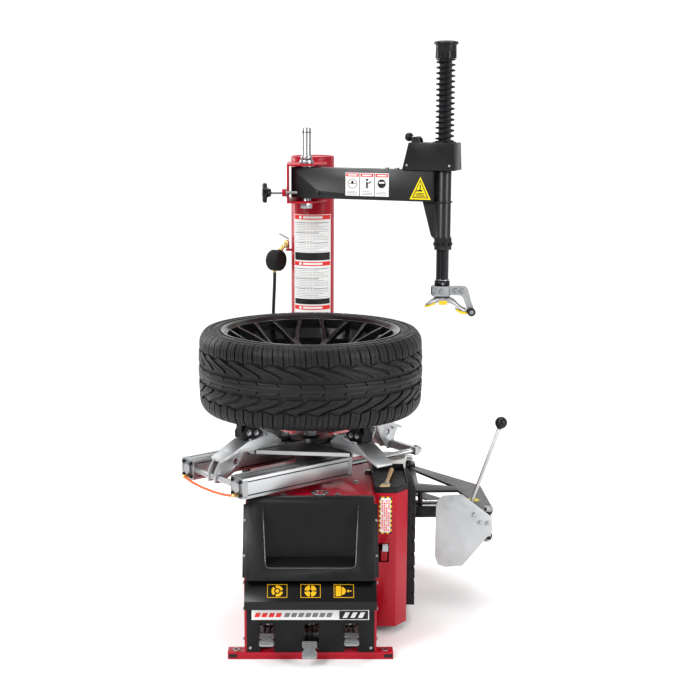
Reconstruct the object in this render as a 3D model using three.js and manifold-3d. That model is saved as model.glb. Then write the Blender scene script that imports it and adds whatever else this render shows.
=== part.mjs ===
// Swing-arm tire changer, modelled in millimetres with +Z up.
// Modelling frame: X to the right, Y to the back, Z = 0 on the floor, and the turntable axis at X = Y = 0.
// At the end the whole group is shifted so that its origin is the centre of its own footprint.
import * as THREE from 'three';
import { mergeVertices } from 'three/addons/utils/BufferGeometryUtils.js';
import Module from 'manifold-3d';

const wasm = await Module();
wasm.setup();

// ---- Driving dimensions --------------------------------------------------------------------------

const GAP = 0.4;                      // air between two parts that touch

const ORIGIN = { x: 109.9, y: 53.5 }; // centre of the footprint in the modelling frame

const FOOT = { halfLength: 260, height: 23, depth: 46, wall: 4 };

const CABINET = {
  halfWidth: 206,
  front: -436,
  back: 622,
  floor: FOOT.height + GAP,
  kneeZ: 262,                         // where the upright front turns into the sloping console face
  slopeTopY: -322,
  slopeTopZ: 470,
  top: 482,
  wall: 3,
};

const PEDAL = {
  x: [-136, 3, 127],
  slotHalfWidth: 22,
  slotTop: 118,
  pinY: -330,
  pinZ: 78,
  pinRadius: 8,
};

const LOCKER = { front: -225, back: 95, chamferX: 278, outer: 317, chamferY: 48, floor: 24, top: 478, wall: 2.5 };
const TRAY = { top: 499, back: 60, wall: 2.5, floorZ: LOCKER.top + GAP };
const PAD = { front: -130, back: 92, thickness: 30, bottom: 62, top: 474, ribs: 9 };

const COLUMN = { x: 8, y: 525, radius: 78, wall: 5, top: 1516 };

const PIVOT = { x: -14, y: 328, radius: 15.8 };
const BRACKET = { left: -82, front: 280, bottom: 1369, top: 1503, plate: 6 };
const STOP = { y: 268, z: 1406, tipX: -46, knobX: -166 };

const ARM = { yaw: -22.4, reach: 498, heel: -45, halfWidth: 32, bottom: 1387, top: 1491.5, wall: 5 };
const SLEEVE = { outer: 25.4, inner: 22.9, bottom: 1240, collar: 31 };
const LOCK = { halfWidth: 42, bottom: ARM.top + GAP, top: 1583, wall: 4 };
const SHAFT = { radius: 22, bottom: 1103.5, top: 1857 };
const CAP = { body: 35, rim: 40.5, rimZ: 1902, top: 1914 };

const TABLE = { yaw: -7, half: 207, corner: 154, top: 612, thickness: 14 };
const JAW = { halfWidth: 36, inner: 150, nose: 382, slotHalfWidth: 33 };
const CLAW = { halfWidth: 22, ledge: 295, tooth: 271.5, ledgeZ: 713.5, topZ: 738 };
const CYLINDER = { offset: 140, z: 536, half: 33, left: -402, right: 38, bore: 28, rodRadius: 9 };

const WHEEL = { z: 846, half: 132, tireRadius: 372, flange: 297, bore: 273 };

const BREAKER = {
  pivotX: 360,
  pivotY: 440,
  rodY: 232,
  rodZ: 308,
  rodRadius: 10,
  plateTop: 385,
  plateBottom: 288,
  hingeX: 588,
  hingeY: -108,
};
const BLADE = { y: -140, thickness: 8 };
const BARREL = { radius: 78, bore: 73, left: -150, right: 188 };

const DRIVE = { x: -40, y: 112, width: 22, gearZ: 388, gearRadius: 80, motorZ: 150, motorRadius: 40, belt: 8 };

const GAUGE = { x: -125, y: 512, z: 1143, radius: 38, halfThickness: 23 };
const HOSE = { radius: 6 };
const AIR_UNIT = { x: -240, y: 580, z: 300, portZ: 440 };

const PAINT = {
  red: { color: 0xb01020, roughness: 0.35, metalness: 0.1 },
  black: { color: 0x161617, roughness: 0.45, metalness: 0.2 },
  plastic: { color: 0x1c1c1e, roughness: 0.55, metalness: 0 },
  steel: { color: 0xb9bcc0, roughness: 0.35, metalness: 0.9 },
  aluminium: { color: 0xcfd2d6, roughness: 0.4, metalness: 0.8 },
  gloss: { color: 0x0b0b0c, roughness: 0.2, metalness: 0.3 },
  rubber: { color: 0x202022, roughness: 0.9, metalness: 0 },
  wood: { color: 0xd9b98a, roughness: 0.7, metalness: 0 },
  white: { color: 0xe9e9e6, roughness: 0.5, metalness: 0 },
  cast: { color: 0x4a4d50, roughness: 0.7, metalness: 0.4 },
};

// ---- Shape helpers -------------------------------------------------------------------------------

function signedVolume(geometry) {
  const p = geometry.attributes.position;
  const index = geometry.index;
  const a = new THREE.Vector3();
  const b = new THREE.Vector3();
  const c = new THREE.Vector3();
  let total = 0;
  for (let i = 0; i < index.count; i += 3) {
    a.fromBufferAttribute(p, index.getX(i));
    b.fromBufferAttribute(p, index.getX(i + 1));
    c.fromBufferAttribute(p, index.getX(i + 2));
    total += a.dot(b.cross(c));
  }
  return total / 6;
}

// Merges shared corners and turns every face outwards.
function closed(geometry) {
  const bare = geometry.clone();
  bare.deleteAttribute('normal');
  bare.deleteAttribute('uv');
  const merged = mergeVertices(bare, 1e-4);
  if (signedVolume(merged) < 0) {
    const array = merged.index.array;
    for (let i = 0; i < array.length; i += 3) {
      [array[i + 1], array[i + 2]] = [array[i + 2], array[i + 1]];
    }
  }
  return merged;
}

function toSolid(geometry) {
  const merged = closed(geometry);
  const vertProperties = new Float32Array(merged.attributes.position.array);
  const triVerts = new Uint32Array(merged.index.array);
  return new wasm.Manifold(new wasm.Mesh({ numProp: 3, vertProperties, triVerts }));
}

function toGeometry(manifold) {
  const mesh = manifold.getMesh();
  const geometry = new THREE.BufferGeometry();
  geometry.setAttribute('position', new THREE.BufferAttribute(new Float32Array(mesh.vertProperties), 3));
  geometry.setIndex(new THREE.BufferAttribute(new Uint32Array(mesh.triVerts), 1));
  return geometry;
}

function join(...pieces) {
  return toGeometry(pieces.map(toSolid).reduce((sum, piece) => sum.add(piece)));
}

function cut(base, ...tools) {
  return toGeometry(tools.map(toSolid).reduce((rest, tool) => rest.subtract(tool), toSolid(base)));
}

function block(x0, x1, y0, y1, z0, z1) {
  const geometry = new THREE.BoxGeometry(x1 - x0, y1 - y0, z1 - z0);
  return geometry.translate((x0 + x1) / 2, (y0 + y1) / 2, (z0 + z1) / 2);
}

function outline(points) {
  return new THREE.Shape(points.map(([u, v]) => new THREE.Vector2(u, v)));
}

// A flat plate: an outline of [x, y] points between two heights.
function plate(points, z0, z1) {
  const geometry = new THREE.ExtrudeGeometry(outline(points), { depth: z1 - z0, bevelEnabled: false });
  return geometry.translate(0, 0, z0);
}

// An outline of [y, z] points swept from x0 to x1.
function sweepX(points, x0, x1) {
  const geometry = new THREE.ExtrudeGeometry(outline(points), { depth: x1 - x0, bevelEnabled: false });
  const turn = new THREE.Matrix4().makeBasis(
    new THREE.Vector3(0, 1, 0), new THREE.Vector3(0, 0, 1), new THREE.Vector3(1, 0, 0));
  return geometry.applyMatrix4(turn).translate(x0, 0, 0);
}

// An outline of [x, z] points swept from y0 to y1.
function sweepY(points, y0, y1) {
  const geometry = new THREE.ExtrudeGeometry(outline(points), { depth: y1 - y0, bevelEnabled: false });
  const turn = new THREE.Matrix4().makeBasis(
    new THREE.Vector3(1, 0, 0), new THREE.Vector3(0, 0, 1), new THREE.Vector3(0, -1, 0));
  return geometry.applyMatrix4(turn).translate(0, y1, 0);
}

// A round bar between two points.
function rod(radius, from, to, sides = 16) {
  const start = new THREE.Vector3(...from);
  const end = new THREE.Vector3(...to);
  const geometry = new THREE.CylinderGeometry(radius, radius, start.distanceTo(end), sides);
  const direction = end.clone().sub(start).normalize();
  const turn = new THREE.Quaternion().setFromUnitVectors(new THREE.Vector3(0, 1, 0), direction);
  const middle = start.add(end).multiplyScalar(0.5);
  return geometry.applyQuaternion(turn).translate(middle.x, middle.y, middle.z);
}

function ball(radius, centre, sides = 16) {
  return new THREE.SphereGeometry(radius, sides, sides / 2).translate(...centre);
}

// A turned piece: a closed outline of [radius, z] points spun about a vertical axis.
function turned(points, x = 0, y = 0, sides = 24) {
  const profile = [...points, points[0]].map(([r, z]) => new THREE.Vector2(r, z));
  return new THREE.LatheGeometry(profile, sides).rotateX(Math.PI / 2).translate(x, y, 0);
}

function tube(outer, inner, x, y, z0, z1, sides = 24) {
  return turned([[inner, z0], [outer, z0], [outer, z1], [inner, z1]], x, y, sides);
}

function mesh(name, geometry, paint) {
  const part = new THREE.Mesh(closed(geometry), new THREE.MeshStandardMaterial(paint));
  part.name = name;
  return part;
}

function rotated(angleDegrees, x = 0, y = 0) {
  const group = new THREE.Group();
  group.position.set(x, y, 0);
  group.rotation.z = THREE.MathUtils.degToRad(angleDegrees);
  return group;
}

// ---- Base: feet, cabinet, console, pedals ----------------------------------------------------------

const machine = new THREE.Group();

function foot(name, front) {
  const back = front + FOOT.depth;
  const bar = block(-FOOT.halfLength, FOOT.halfLength, front, back, 0, FOOT.height);
  const hollow = block(-FOOT.halfLength - 1, FOOT.halfLength + 1, front + FOOT.wall, back - FOOT.wall,
    -1, FOOT.height - FOOT.wall);
  const holes = [-1, 1].map((side) => {
    const x = side * (FOOT.halfLength - 27);
    const y = front + FOOT.depth / 2;
    return rod(6, [x, y, 0], [x, y, FOOT.height + 1], 12);
  });
  return mesh(name, cut(bar, hollow, ...holes), PAINT.red);
}

function cabinetOutline(inset) {
  const { front, back, floor, kneeZ, slopeTopY, slopeTopZ, top } = CABINET;
  return [
    [front + inset, inset ? floor - 5 : floor],
    [back - inset, inset ? floor - 5 : floor],
    [back - inset, top - inset],
    [slopeTopY + 10 + inset, top - inset],
    [slopeTopY + inset, slopeTopZ - inset],
    [front + inset, kneeZ],
  ];
}

function cabinetShell() {
  const w = CABINET.halfWidth;
  const inner = w - CABINET.wall;
  const shell = sweepX(cabinetOutline(0), -w, w);
  return cut(
    shell,
    sweepX(cabinetOutline(CABINET.wall), -inner, inner),
    block(-160, 160, -450, -330, 296, 446),                        // console pocket
    block(-175, 175, -450, -425, 0, PEDAL.slotTop + 7),             // pedals
    rod(60, [0, 0, 470], [0, 0, 490], 24),                          // turntable shaft
    rod(28, [190, BREAKER.rodY, BREAKER.rodZ], [220, BREAKER.rodY, BREAKER.rodZ], 16),
    block(-150, 150, CABINET.back - 10, CABINET.back + 10, 120, 400), // service opening at the back
  );
}

// The console is a moulded cover on the sloping face, with a shelf pocket that reaches into the cabinet.
function frontConsole() {
  const cover = sweepX([
    [-437, 262.6], [-466, 268], [-336, 491], [-330, 496], [-308, 496], [-308, CABINET.top + GAP],
    [-312.6, CABINET.top + GAP], [-323, 470.6], [-436.9, 263.2],
  ], -200, 200);
  const flange = sweepX([[-437.2, 268], [-443, 270], [-329, 474], [-323.4, 471]], -212, 212);
  const pocket = sweepX([[-446, 301], [-341, 301], [-341, 480]], -154, 154);
  const shelf = sweepY([[-139, 305], [139, 305], [150, 476], [-150, 476]], -500, -345);
  return cut(join(cover, flange, pocket), shelf);
}

function pedalHood() {
  const sheet = sweepX([
    [-437.3, 261], [-440.3, 261], [-488, 208], [-488, 182], [-485.4, 182], [-485.4, 207.2], [-437.3, 257],
  ], -205, 205);
  const cheek = [[-437.3, 258], [-486, 207], [-486, 182], [-437.3, 182]];
  return join(sheet, sweepX(cheek, -205, -202.4), sweepX(cheek, 202.4, 205));
}

function pedalPanel() {
  const panel = block(-200, 200, -439.4, -436.8, FOOT.height + GAP, 175);
  const slots = PEDAL.x.map((x) => {
    const half = PEDAL.slotHalfWidth;
    return block(x - half, x + half, -445, -430, 0, PEDAL.slotTop);
  });
  return cut(panel, ...slots);
}

// One welded bracket carries the pin that all three pedals turn on.
function pedalFrame() {
  const supports = [-185, -72, 66, 185].map((x) => block(x - 3, x + 3, -352, -308, 24, 98));
  const base = block(-188, 188, -366, -294, 24, 30);
  const pin = rod(PEDAL.pinRadius, [-188, PEDAL.pinY, PEDAL.pinZ], [188, PEDAL.pinY, PEDAL.pinZ]);
  return join(base, pin, ...supports);
}

// padFrom and padTo are the [y, z] ends of the foot plate's top edge.
function pedal(x, padFrom, padTo) {
  const pin = [PEDAL.pinY, PEDAL.pinZ];
  const boss = rod(15, [x - 16, ...pin], [x + 16, ...pin]);
  const arm = sweepX([
    [pin[0], pin[1] - 12], [pin[0], pin[1] + 12], [padFrom[0] + 6, padFrom[1]], [padFrom[0] - 4, padFrom[1] - 16],
  ], x - 9, x + 9);
  const pad = sweepX([
    padFrom, padTo, [padTo[0] + 4, padTo[1] - 9], [padFrom[0] + 4, padFrom[1] - 9],
  ], x - 23, x + 23);
  const bore = rod(PEDAL.pinRadius + GAP, [x - 30, ...pin], [x + 30, ...pin]);
  return cut(join(boss, arm, pad), bore);
}

machine.add(
  foot('foot_front', CABINET.front - 4),
  foot('foot_rear', CABINET.back - FOOT.depth),
  mesh('cabinet_shell', cabinetShell(), PAINT.red),
  mesh('front_console', frontConsole(), PAINT.plastic),
  mesh('pedal_hood', pedalHood(), PAINT.black),
  mesh('pedal_panel', pedalPanel(), PAINT.black),
  mesh('pedal_frame', pedalFrame(), PAINT.cast),
  mesh('pedal_left', pedal(PEDAL.x[0], [-468, 100], [-512, 80]), PAINT.aluminium),
  mesh('pedal_center', pedal(PEDAL.x[1], [-472, 74], [-514, 36]), PAINT.aluminium),
  mesh('pedal_right', pedal(PEDAL.x[2], [-468, 102], [-512, 82]), PAINT.aluminium),
);

// ---- Right side: locker, tray, brush, bucket, bead pad ------------------------------------------------

// The locker's plan, shrunk by an inset on its free sides.
function lockerPlan(inset, back) {
  const left = CABINET.halfWidth + GAP;
  return [
    [left + inset, LOCKER.front + inset],
    [LOCKER.chamferX - inset / 2, LOCKER.front + inset],
    [LOCKER.outer - inset, LOCKER.front + LOCKER.chamferY + inset / 2],
    [LOCKER.outer - inset, back - inset],
    [left + inset, back - inset],
  ];
}

function sideLocker() {
  const shell = cut(
    plate(lockerPlan(0, LOCKER.back), LOCKER.floor, LOCKER.top),
    plate(lockerPlan(LOCKER.wall, LOCKER.back), LOCKER.floor - 1, LOCKER.top - LOCKER.wall),
    block(219, 255, LOCKER.front - 10, LOCKER.front + 10, 245, 309),
  );
  const bucketShelf = block(CABINET.halfWidth + GAP, 335, LOCKER.back - 2, 226, 372, 377);
  const leverRack = block(CABINET.halfWidth + GAP, 262, -120, -80, 253, 262 - GAP);
  return join(shell, bucketShelf, leverRack);
}

function soapTray() {
  const outer = plate(lockerPlan(0, TRAY.back), TRAY.floorZ, TRAY.top);
  const inner = plate(lockerPlan(TRAY.wall, TRAY.back), TRAY.floorZ + TRAY.wall, TRAY.top + 1);
  return cut(outer, inner);
}

function soapBrush() {
  const floorZ = TRAY.floorZ + TRAY.wall;
  const head = block(226, 262, -215, -165, floorZ + GAP, floorZ + 16);
  const handle = rod(7, [246, -170, floorZ + 8], [276, 20, floorZ + 8.5], 12);
  return join(head, handle);
}

function tireLever() {
  const bar = block(228, 246, -250, 60, 262, 272);
  const tip = sweepX([[-246, 262], [-246, 272], [-262, 300], [-268, 298], [-258, 262]], 228, 246);
  return join(bar, tip);
}

function lubricantBucket() {
  return turned([[0, 378], [54, 378], [64, 499], [60, 499], [50.5, 382], [0, 382]], 271, 163);
}

// Ribbed rubber block that the tire leans on while its bead is pushed off.
function beadPad() {
  const left = LOCKER.outer + GAP;
  const back = block(left, left + 18, PAD.front, PAD.back, PAD.bottom, PAD.top);
  const pitch = (PAD.top - PAD.bottom) / PAD.ribs;
  const ribs = Array.from({ length: PAD.ribs }, (_, i) => {
    const z = PAD.bottom + i * pitch;
    return block(left + 17, left + PAD.thickness, PAD.front, PAD.back, z, z + pitch * 0.72);
  });
  return join(back, ...ribs);
}

machine.add(
  mesh('side_locker', sideLocker(), PAINT.red),
  mesh('soap_tray', soapTray(), PAINT.plastic),
  mesh('soap_brush', soapBrush(), PAINT.wood),
  mesh('tire_lever', tireLever(), PAINT.steel),
  mesh('lubricant_bucket', lubricantBucket(), PAINT.white),
  mesh('bead_pad', beadPad(), PAINT.rubber),
);

// ---- Drive inside the cabinet ----------------------------------------------------------------------------

function gearbox() {
  const housing = block(-100, 100, -92, 88, 366, CABINET.top - CABINET.wall - GAP);
  const worm = rod(34, [DRIVE.x, -100, DRIVE.gearZ], [DRIVE.x, 96, DRIVE.gearZ], 24);
  const shaftBore = rod(36, [0, 0, 392], [0, 0, 490], 24);
  const inputBore = rod(12.6, [DRIVE.x, 56, DRIVE.gearZ], [DRIVE.x, 110, DRIVE.gearZ]);
  return cut(join(housing, worm), shaftBore, inputBore);
}

function pulley(z, radius, shaftRadius, shaftFrom) {
  const y0 = DRIVE.y;
  const y1 = DRIVE.y + DRIVE.width;
  const wheel = rod(radius, [DRIVE.x, y0, z], [DRIVE.x, y1, z], 32);
  const shaft = rod(shaftRadius, [DRIVE.x, shaftFrom, z], [DRIVE.x, y0 + 1, z]);
  return join(wheel, shaft);
}

function motor() {
  const body = rod(72, [DRIVE.x, -120, DRIVE.motorZ], [DRIVE.x, 84, DRIVE.motorZ], 24);
  const terminals = block(DRIVE.x - 35, DRIVE.x + 35, -70, 0, 205, 248);
  const bracket = block(-(CABINET.halfWidth - CABINET.wall - GAP), DRIVE.x - 40, -60, 30, 140, 160);
  const bore = rod(10.6, [DRIVE.x, 60, DRIVE.motorZ], [DRIVE.x, 90, DRIVE.motorZ]);
  return cut(join(body, terminals, bracket), bore);
}

// An open loop around both pulleys: two arcs joined by their common tangents.
function beltLoop(extra) {
  const big = DRIVE.gearRadius + extra;
  const small = DRIVE.motorRadius + extra;
  const tilt = Math.asin((big - small) / (DRIVE.gearZ - DRIVE.motorZ));
  const steps = 20;
  const arc = (radius, z, from, to) => Array.from({ length: steps + 1 }, (_, i) => {
    const angle = from + (to - from) * i / steps;
    return [DRIVE.x + radius * Math.cos(angle), z + radius * Math.sin(angle)];
  });
  return [
    ...arc(big, DRIVE.gearZ, -tilt, Math.PI + tilt),
    ...arc(small, DRIVE.motorZ, Math.PI + tilt, 2 * Math.PI - tilt),
  ];
}

function belt() {
  const y0 = DRIVE.y + 2;
  const y1 = DRIVE.y + DRIVE.width - 2;
  const inner = sweepY(beltLoop(GAP), y0 - 1, y1 + 1);
  return cut(sweepY(beltLoop(GAP + DRIVE.belt), y0, y1), inner);
}

function breakerCylinder() {
  const { rodY, rodZ, rodRadius } = BREAKER;
  const end = CABINET.halfWidth - CABINET.wall - GAP;
  const barrel = rod(BARREL.radius, [BARREL.left, rodY, rodZ], [BARREL.right, rodY, rodZ], 32);
  const nose = rod(26, [BARREL.right - 1, rodY, rodZ], [end, rodY, rodZ], 24);
  const chamber = rod(BARREL.bore, [BARREL.left + 8, rodY, rodZ], [BARREL.right - 8, rodY, rodZ], 32);
  const rodBore = rod(rodRadius + GAP, [BARREL.left + 20, rodY, rodZ], [end + 1, rodY, rodZ]);
  return cut(join(barrel, nose), chamber, rodBore);
}

// Filter and regulator on the left side of the cabinet, with the inflator hose's port on top.
function airUnit() {
  const side = -CABINET.halfWidth - GAP;
  const { x, y, z, portZ } = AIR_UNIT;
  return join(
    block(x - 24, side, y - 26, y + 26, z + 50, z + 104),
    rod(22, [x, y, z - 30], [x, y, z + 52], 24),
    rod(14, [x, y, z + 100], [x, y, z + 126], 16),
    rod(9, [x, y, z + 120], [x, y, portZ - GAP], 12),
  );
}

machine.add(
  mesh('gearbox', gearbox(), PAINT.cast),
  mesh('gearbox_pulley', pulley(DRIVE.gearZ, DRIVE.gearRadius, 12, 60), PAINT.cast),
  mesh('motor', motor(), PAINT.cast),
  mesh('motor_pulley', pulley(DRIVE.motorZ, DRIVE.motorRadius, 10, 64), PAINT.cast),
  mesh('drive_belt', belt(), PAINT.rubber),
  mesh('breaker_cylinder', breakerCylinder(), PAINT.aluminium),
  mesh('air_unit', airUnit(), PAINT.plastic),
);

// ---- Bead breaker: mount, arm, rod, blade ------------------------------------------------------------------

function breakerMount() {
  const { pivotX: x, pivotY: y } = BREAKER;
  const left = CABINET.halfWidth + GAP;
  return join(
    block(left, 322, y - 30, y + 30, 272, 400),
    block(320, x + 26, y - 26, y + 26, 272, 284),
    block(320, x + 26, y - 26, y + 26, 388.5, 400),
    rod(13, [x, y, 262], [x, y, 412]),
  );
}

// Two steel plates of one outline, joined by a hinge tube, a strut and an end wall. The rod runs between them.
function breakerArm() {
  const { pivotX: x, pivotY: y, hingeX, hingeY, plateTop, plateBottom } = BREAKER;
  const plan = [
    [x - 24, y + 8], [x - 8, y + 24], [x + 16, y + 22], [598, 190], [609, -92], [hingeX + 12, hingeY - 17],
    [hingeX - 14, hingeY - 15], [514, 128], [366, 122], [366, 205], [x - 22, y - 20],
  ];
  const window = [[382, 216], [384, 386], [506, 178]];
  const layer = (z0, z1) => cut(plate(plan, z0, z1), plate(window, z0 - 1, z1 + 1));
  const body = join(
    layer(plateTop - 8, plateTop),
    layer(plateBottom, plateBottom + 6),
    rod(26, [x, y, plateBottom], [x, y, plateTop], 20),
    rod(9, [384, 148, plateBottom], [384, 148, plateTop], 12),
    block(368, 470, 124, 130, plateBottom, 328),
    plate([[560, 20], [594, 20], [600, -60], [574, -60]], plateBottom, plateTop),
    rod(6.6, [hingeX, hingeY, plateBottom], [hingeX, hingeY, plateTop + 6], 12),
    rod(10, [hingeX, hingeY, plateTop - 1], [hingeX, hingeY, plateTop + 6], 6),
  );
  return cut(body, rod(13 + GAP, [x, y, 200], [x, y, 500]));
}

function breakerRod() {
  const { rodY, rodZ, rodRadius } = BREAKER;
  return join(
    rod(rodRadius, [40, rodY, rodZ], [552, rodY, rodZ]),
    rod(BARREL.bore - 1, [34, rodY, rodZ], [56, rodY, rodZ], 32),
    rod(13, [544, rodY, rodZ - 11], [544, rodY, rodZ + 30]),
  );
}

function breakerBlade() {
  const { hingeX, hingeY } = BREAKER;
  const front = BLADE.y;
  const back = front + BLADE.thickness;
  const sheet = sweepY([
    [414, 232], [424, 207], [446, 199], [504, 203], [601, 322], [599, 371], [500, 447], [440, 444], [420, 430], [414, 408],
  ], front, back);
  const web = block(hingeX - 22, hingeX + 2, back - 1, hingeY, 302, 364);
  const tubeOuter = rod(13, [hingeX, hingeY, 298], [hingeX, hingeY, 370]);
  const bore = rod(6.6 + GAP, [hingeX, hingeY, 250], [hingeX, hingeY, 420]);
  return cut(join(sheet, web, tubeOuter), bore);
}

function bladeLever() {
  const y = BLADE.y + BLADE.thickness + GAP + 6;
  return join(rod(6, [524, y, 396], [619, y, 676]), ball(20, [623, y, 688]));
}

machine.add(
  mesh('breaker_mount', breakerMount(), PAINT.black),
  mesh('breaker_arm', breakerArm(), PAINT.black),
  mesh('breaker_rod', breakerRod(), PAINT.steel),
  mesh('breaker_blade', breakerBlade(), PAINT.aluminium),
  mesh('blade_lever', bladeLever(), PAINT.steel),
);

// ---- Column, bracket, stop screw, inflator -------------------------------------------------------------------

function column() {
  const { x, y, radius, wall, top } = COLUMN;
  const base = CABINET.top + GAP;
  const post = rod(radius, [x, y, base], [x, y, top], 32);
  const bore = rod(radius - wall, [x, y, base + 12], [x, y, top + 1], 32);
  const flange = block(x - 105, x + 105, y - 92, y + 92, base, base + 12);
  const hook = block(x - radius - 20, x - radius + 2, GAUGE.y - 6, GAUGE.y + 6, 1178, 1186);
  return cut(join(post, flange, hook), bore);
}

function swingBracket() {
  const { left, front, bottom, top, plate: sheet } = BRACKET;
  const back = COLUMN.y - 45;
  const web = block(left, left + sheet, front, back, bottom, top);
  const flangePlan = [[left, front], [4, front], [58, front + 92], [58, back], [left, back]];
  const body = join(
    web,
    plate(flangePlan, bottom, bottom + sheet),
    plate(flangePlan, top - sheet, top),
    rod(10, [left - 16, STOP.y + 14, STOP.z], [left + 1, STOP.y + 14, STOP.z], 6),
  );
  return cut(
    body,
    rod(COLUMN.radius + GAP, [COLUMN.x, COLUMN.y, 1300], [COLUMN.x, COLUMN.y, 1600], 32),
    rod(PIVOT.radius + GAP, [PIVOT.x, PIVOT.y, 1300], [PIVOT.x, PIVOT.y, 1600]),
    rod(6 + GAP, [left - 30, STOP.y + 14, STOP.z], [left + 30, STOP.y + 14, STOP.z], 12),
  );
}

function pivotShaft() {
  const { x, y, radius } = PIVOT;
  return join(
    rod(radius, [x, y, BRACKET.bottom - 12], [x, y, 1625]),
    rod(23, [x, y, BRACKET.bottom - 20], [x, y, BRACKET.bottom - GAP], 6),
    rod(23, [x, y, BRACKET.top + GAP], [x, y, BRACKET.top + 14], 20),
  );
}

function stopScrew() {
  const y = STOP.y + 14;
  const lobes = Array.from({ length: 7 }, (_, i) => {
    const angle = 2 * Math.PI * i / 7;
    const ly = y + 25 * Math.cos(angle);
    const lz = STOP.z + 25 * Math.sin(angle);
    return rod(10, [STOP.knobX, ly, lz], [STOP.knobX + 16, ly, lz], 12);
  });
  return join(
    rod(6, [STOP.knobX + 8, y, STOP.z], [STOP.tipX, y, STOP.z], 12),
    rod(27, [STOP.knobX, y, STOP.z], [STOP.knobX + 16, y, STOP.z], 20),
    rod(14, [STOP.knobX + 15, y, STOP.z], [STOP.knobX + 30, y, STOP.z], 16),
    ...lobes,
  );
}

function inflatorGauge() {
  const { x, y, z, radius, halfThickness: half } = GAUGE;
  return join(
    rod(radius, [x - half, y, z], [x + half, y, z], 24),
    rod(8, [x + 8, y, z + 30], [-85, y, z + 66], 12),
    rod(9, [-87, y, z + 48], [-87, y, z + 72], 12),
    rod(7, [x - 6, y, z - 44], [x - 6, y, z - 30], 12),
  );
}

function inflatorTrigger() {
  const { y, z } = GAUGE;
  return sweepY([[-79, z + 76], [-77, z + 80], [-113, z + 100], [-115, z + 96]], y - 6, y + 6);
}

// The inflator's hose hangs from the gauge, passes behind the wheel and ends in the air unit's port.
function inflatorHose() {
  const points = [
    [-131, 512, 1098.6], [-131, 512, 1078], [-132, 512, 1050], [-134, 513, 1010], [-136, 514, 970], [-137, 515, 930],
    [-138, 517, 890], [-139, 520, 850], [-141, 524, 810], [-144, 529, 770], [-149, 535, 732], [-156, 542, 694],
    [-165, 550, 656], [-176, 558, 618], [-189, 566, 583], [-204, 573, 551], [-219, 577, 522], [-231, 579, 496],
    [-238, 580, 472], [-240, 580, 455], [-240, 580, 440.4],
  ].map((p) => new THREE.Vector3(...p));
  const section = new THREE.Shape();
  section.absarc(0, 0, HOSE.radius, 0, 2 * Math.PI);
  return new THREE.ExtrudeGeometry(section, {
    steps: 40,
    curveSegments: 5,
    extrudePath: new THREE.CatmullRomCurve3(points),
    bevelEnabled: false,
  });
}

machine.add(
  mesh('column', column(), PAINT.red),
  mesh('swing_bracket', swingBracket(), PAINT.red),
  mesh('pivot_shaft', pivotShaft(), PAINT.steel),
  mesh('stop_screw', stopScrew(), PAINT.plastic),
  mesh('inflator_gauge', inflatorGauge(), PAINT.rubber),
  mesh('inflator_trigger', inflatorTrigger(), PAINT.steel),
  mesh('inflator_hose', inflatorHose(), PAINT.rubber),
);

// ---- Swing arm, tool column and mount head --------------------------------------------------------------------

// Local frame of the arm: x runs out along the beam from the pivot.
const arm = rotated(ARM.yaw, PIVOT.x, PIVOT.y);
machine.add(arm);

function swingArm() {
  const { heel, halfWidth: w, bottom, top, wall, reach } = ARM;
  const end = reach - SLEEVE.outer - 1;
  const beam = cut(
    block(heel, end, -w, w, bottom, top),
    block(heel - 1, end - wall, -w + wall, w - wall, bottom + wall, top - wall),
  );
  const bush = rod(24, [0, 0, bottom], [0, 0, top], 20);
  const stopBoss = rod(8, [58, -w - 14, STOP.z], [58, -w + 1, STOP.z], 6);
  return cut(join(beam, bush, stopBoss), rod(PIVOT.radius + GAP, [0, 0, bottom - 1], [0, 0, top + 1]));
}

function toolSleeve() {
  const x = ARM.reach;
  const collar = rod(SLEEVE.collar, [x, 0, 1226], [x, 0, 1264], 8);
  const sleeve = rod(SLEEVE.outer, [x, 0, 1230], [x, 0, ARM.top], 24);
  const gusset = sweepY([
    [425, ARM.bottom - GAP], [456, 1272], [x - 20, 1250], [x - 20, ARM.bottom - GAP],
  ], -4, 4);
  return cut(join(sleeve, collar, gusset), rod(SLEEVE.inner, [x, 0, 1200], [x, 0, 1500], 24));
}

function lockHousing() {
  const { halfWidth: w, bottom, top, wall } = LOCK;
  const side = (inset) => [
    [363 + inset, bottom - (inset ? 1 : 0)], [547 - inset, bottom - (inset ? 1 : 0)],
    [543 - inset, top - inset], [385 + inset, top - inset],
  ];
  return cut(
    sweepY(side(0), -w, w),
    sweepY(side(wall), -w + wall, w - wall),
    rod(24, [ARM.reach, 0, 1560], [ARM.reach, 0, 1600], 24),
  );
}

function lockLever() {
  return join(
    ball(15, [374, 0, 1600]),
    rod(5, [374, 0, 1598], [402, 0, 1592], 12),
    rod(7.5, [402, -12, 1592], [402, 12, 1592], 12),
  );
}

function toolShaft() {
  const x = ARM.reach;
  return join(
    rod(SHAFT.radius, [x, 0, SHAFT.bottom + 2], [x, 0, SHAFT.top - GAP], 6),
    rod(24, [x, 0, SHAFT.bottom], [x, 0, SHAFT.bottom + 15], 24),
  );
}

function shaftCap() {
  return turned([
    [0, SHAFT.top], [CAP.body, SHAFT.top], [CAP.body, CAP.rimZ], [CAP.rim, CAP.rimZ + 3], [CAP.rim, CAP.top], [0, CAP.top],
  ], ARM.reach, 0);
}

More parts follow.
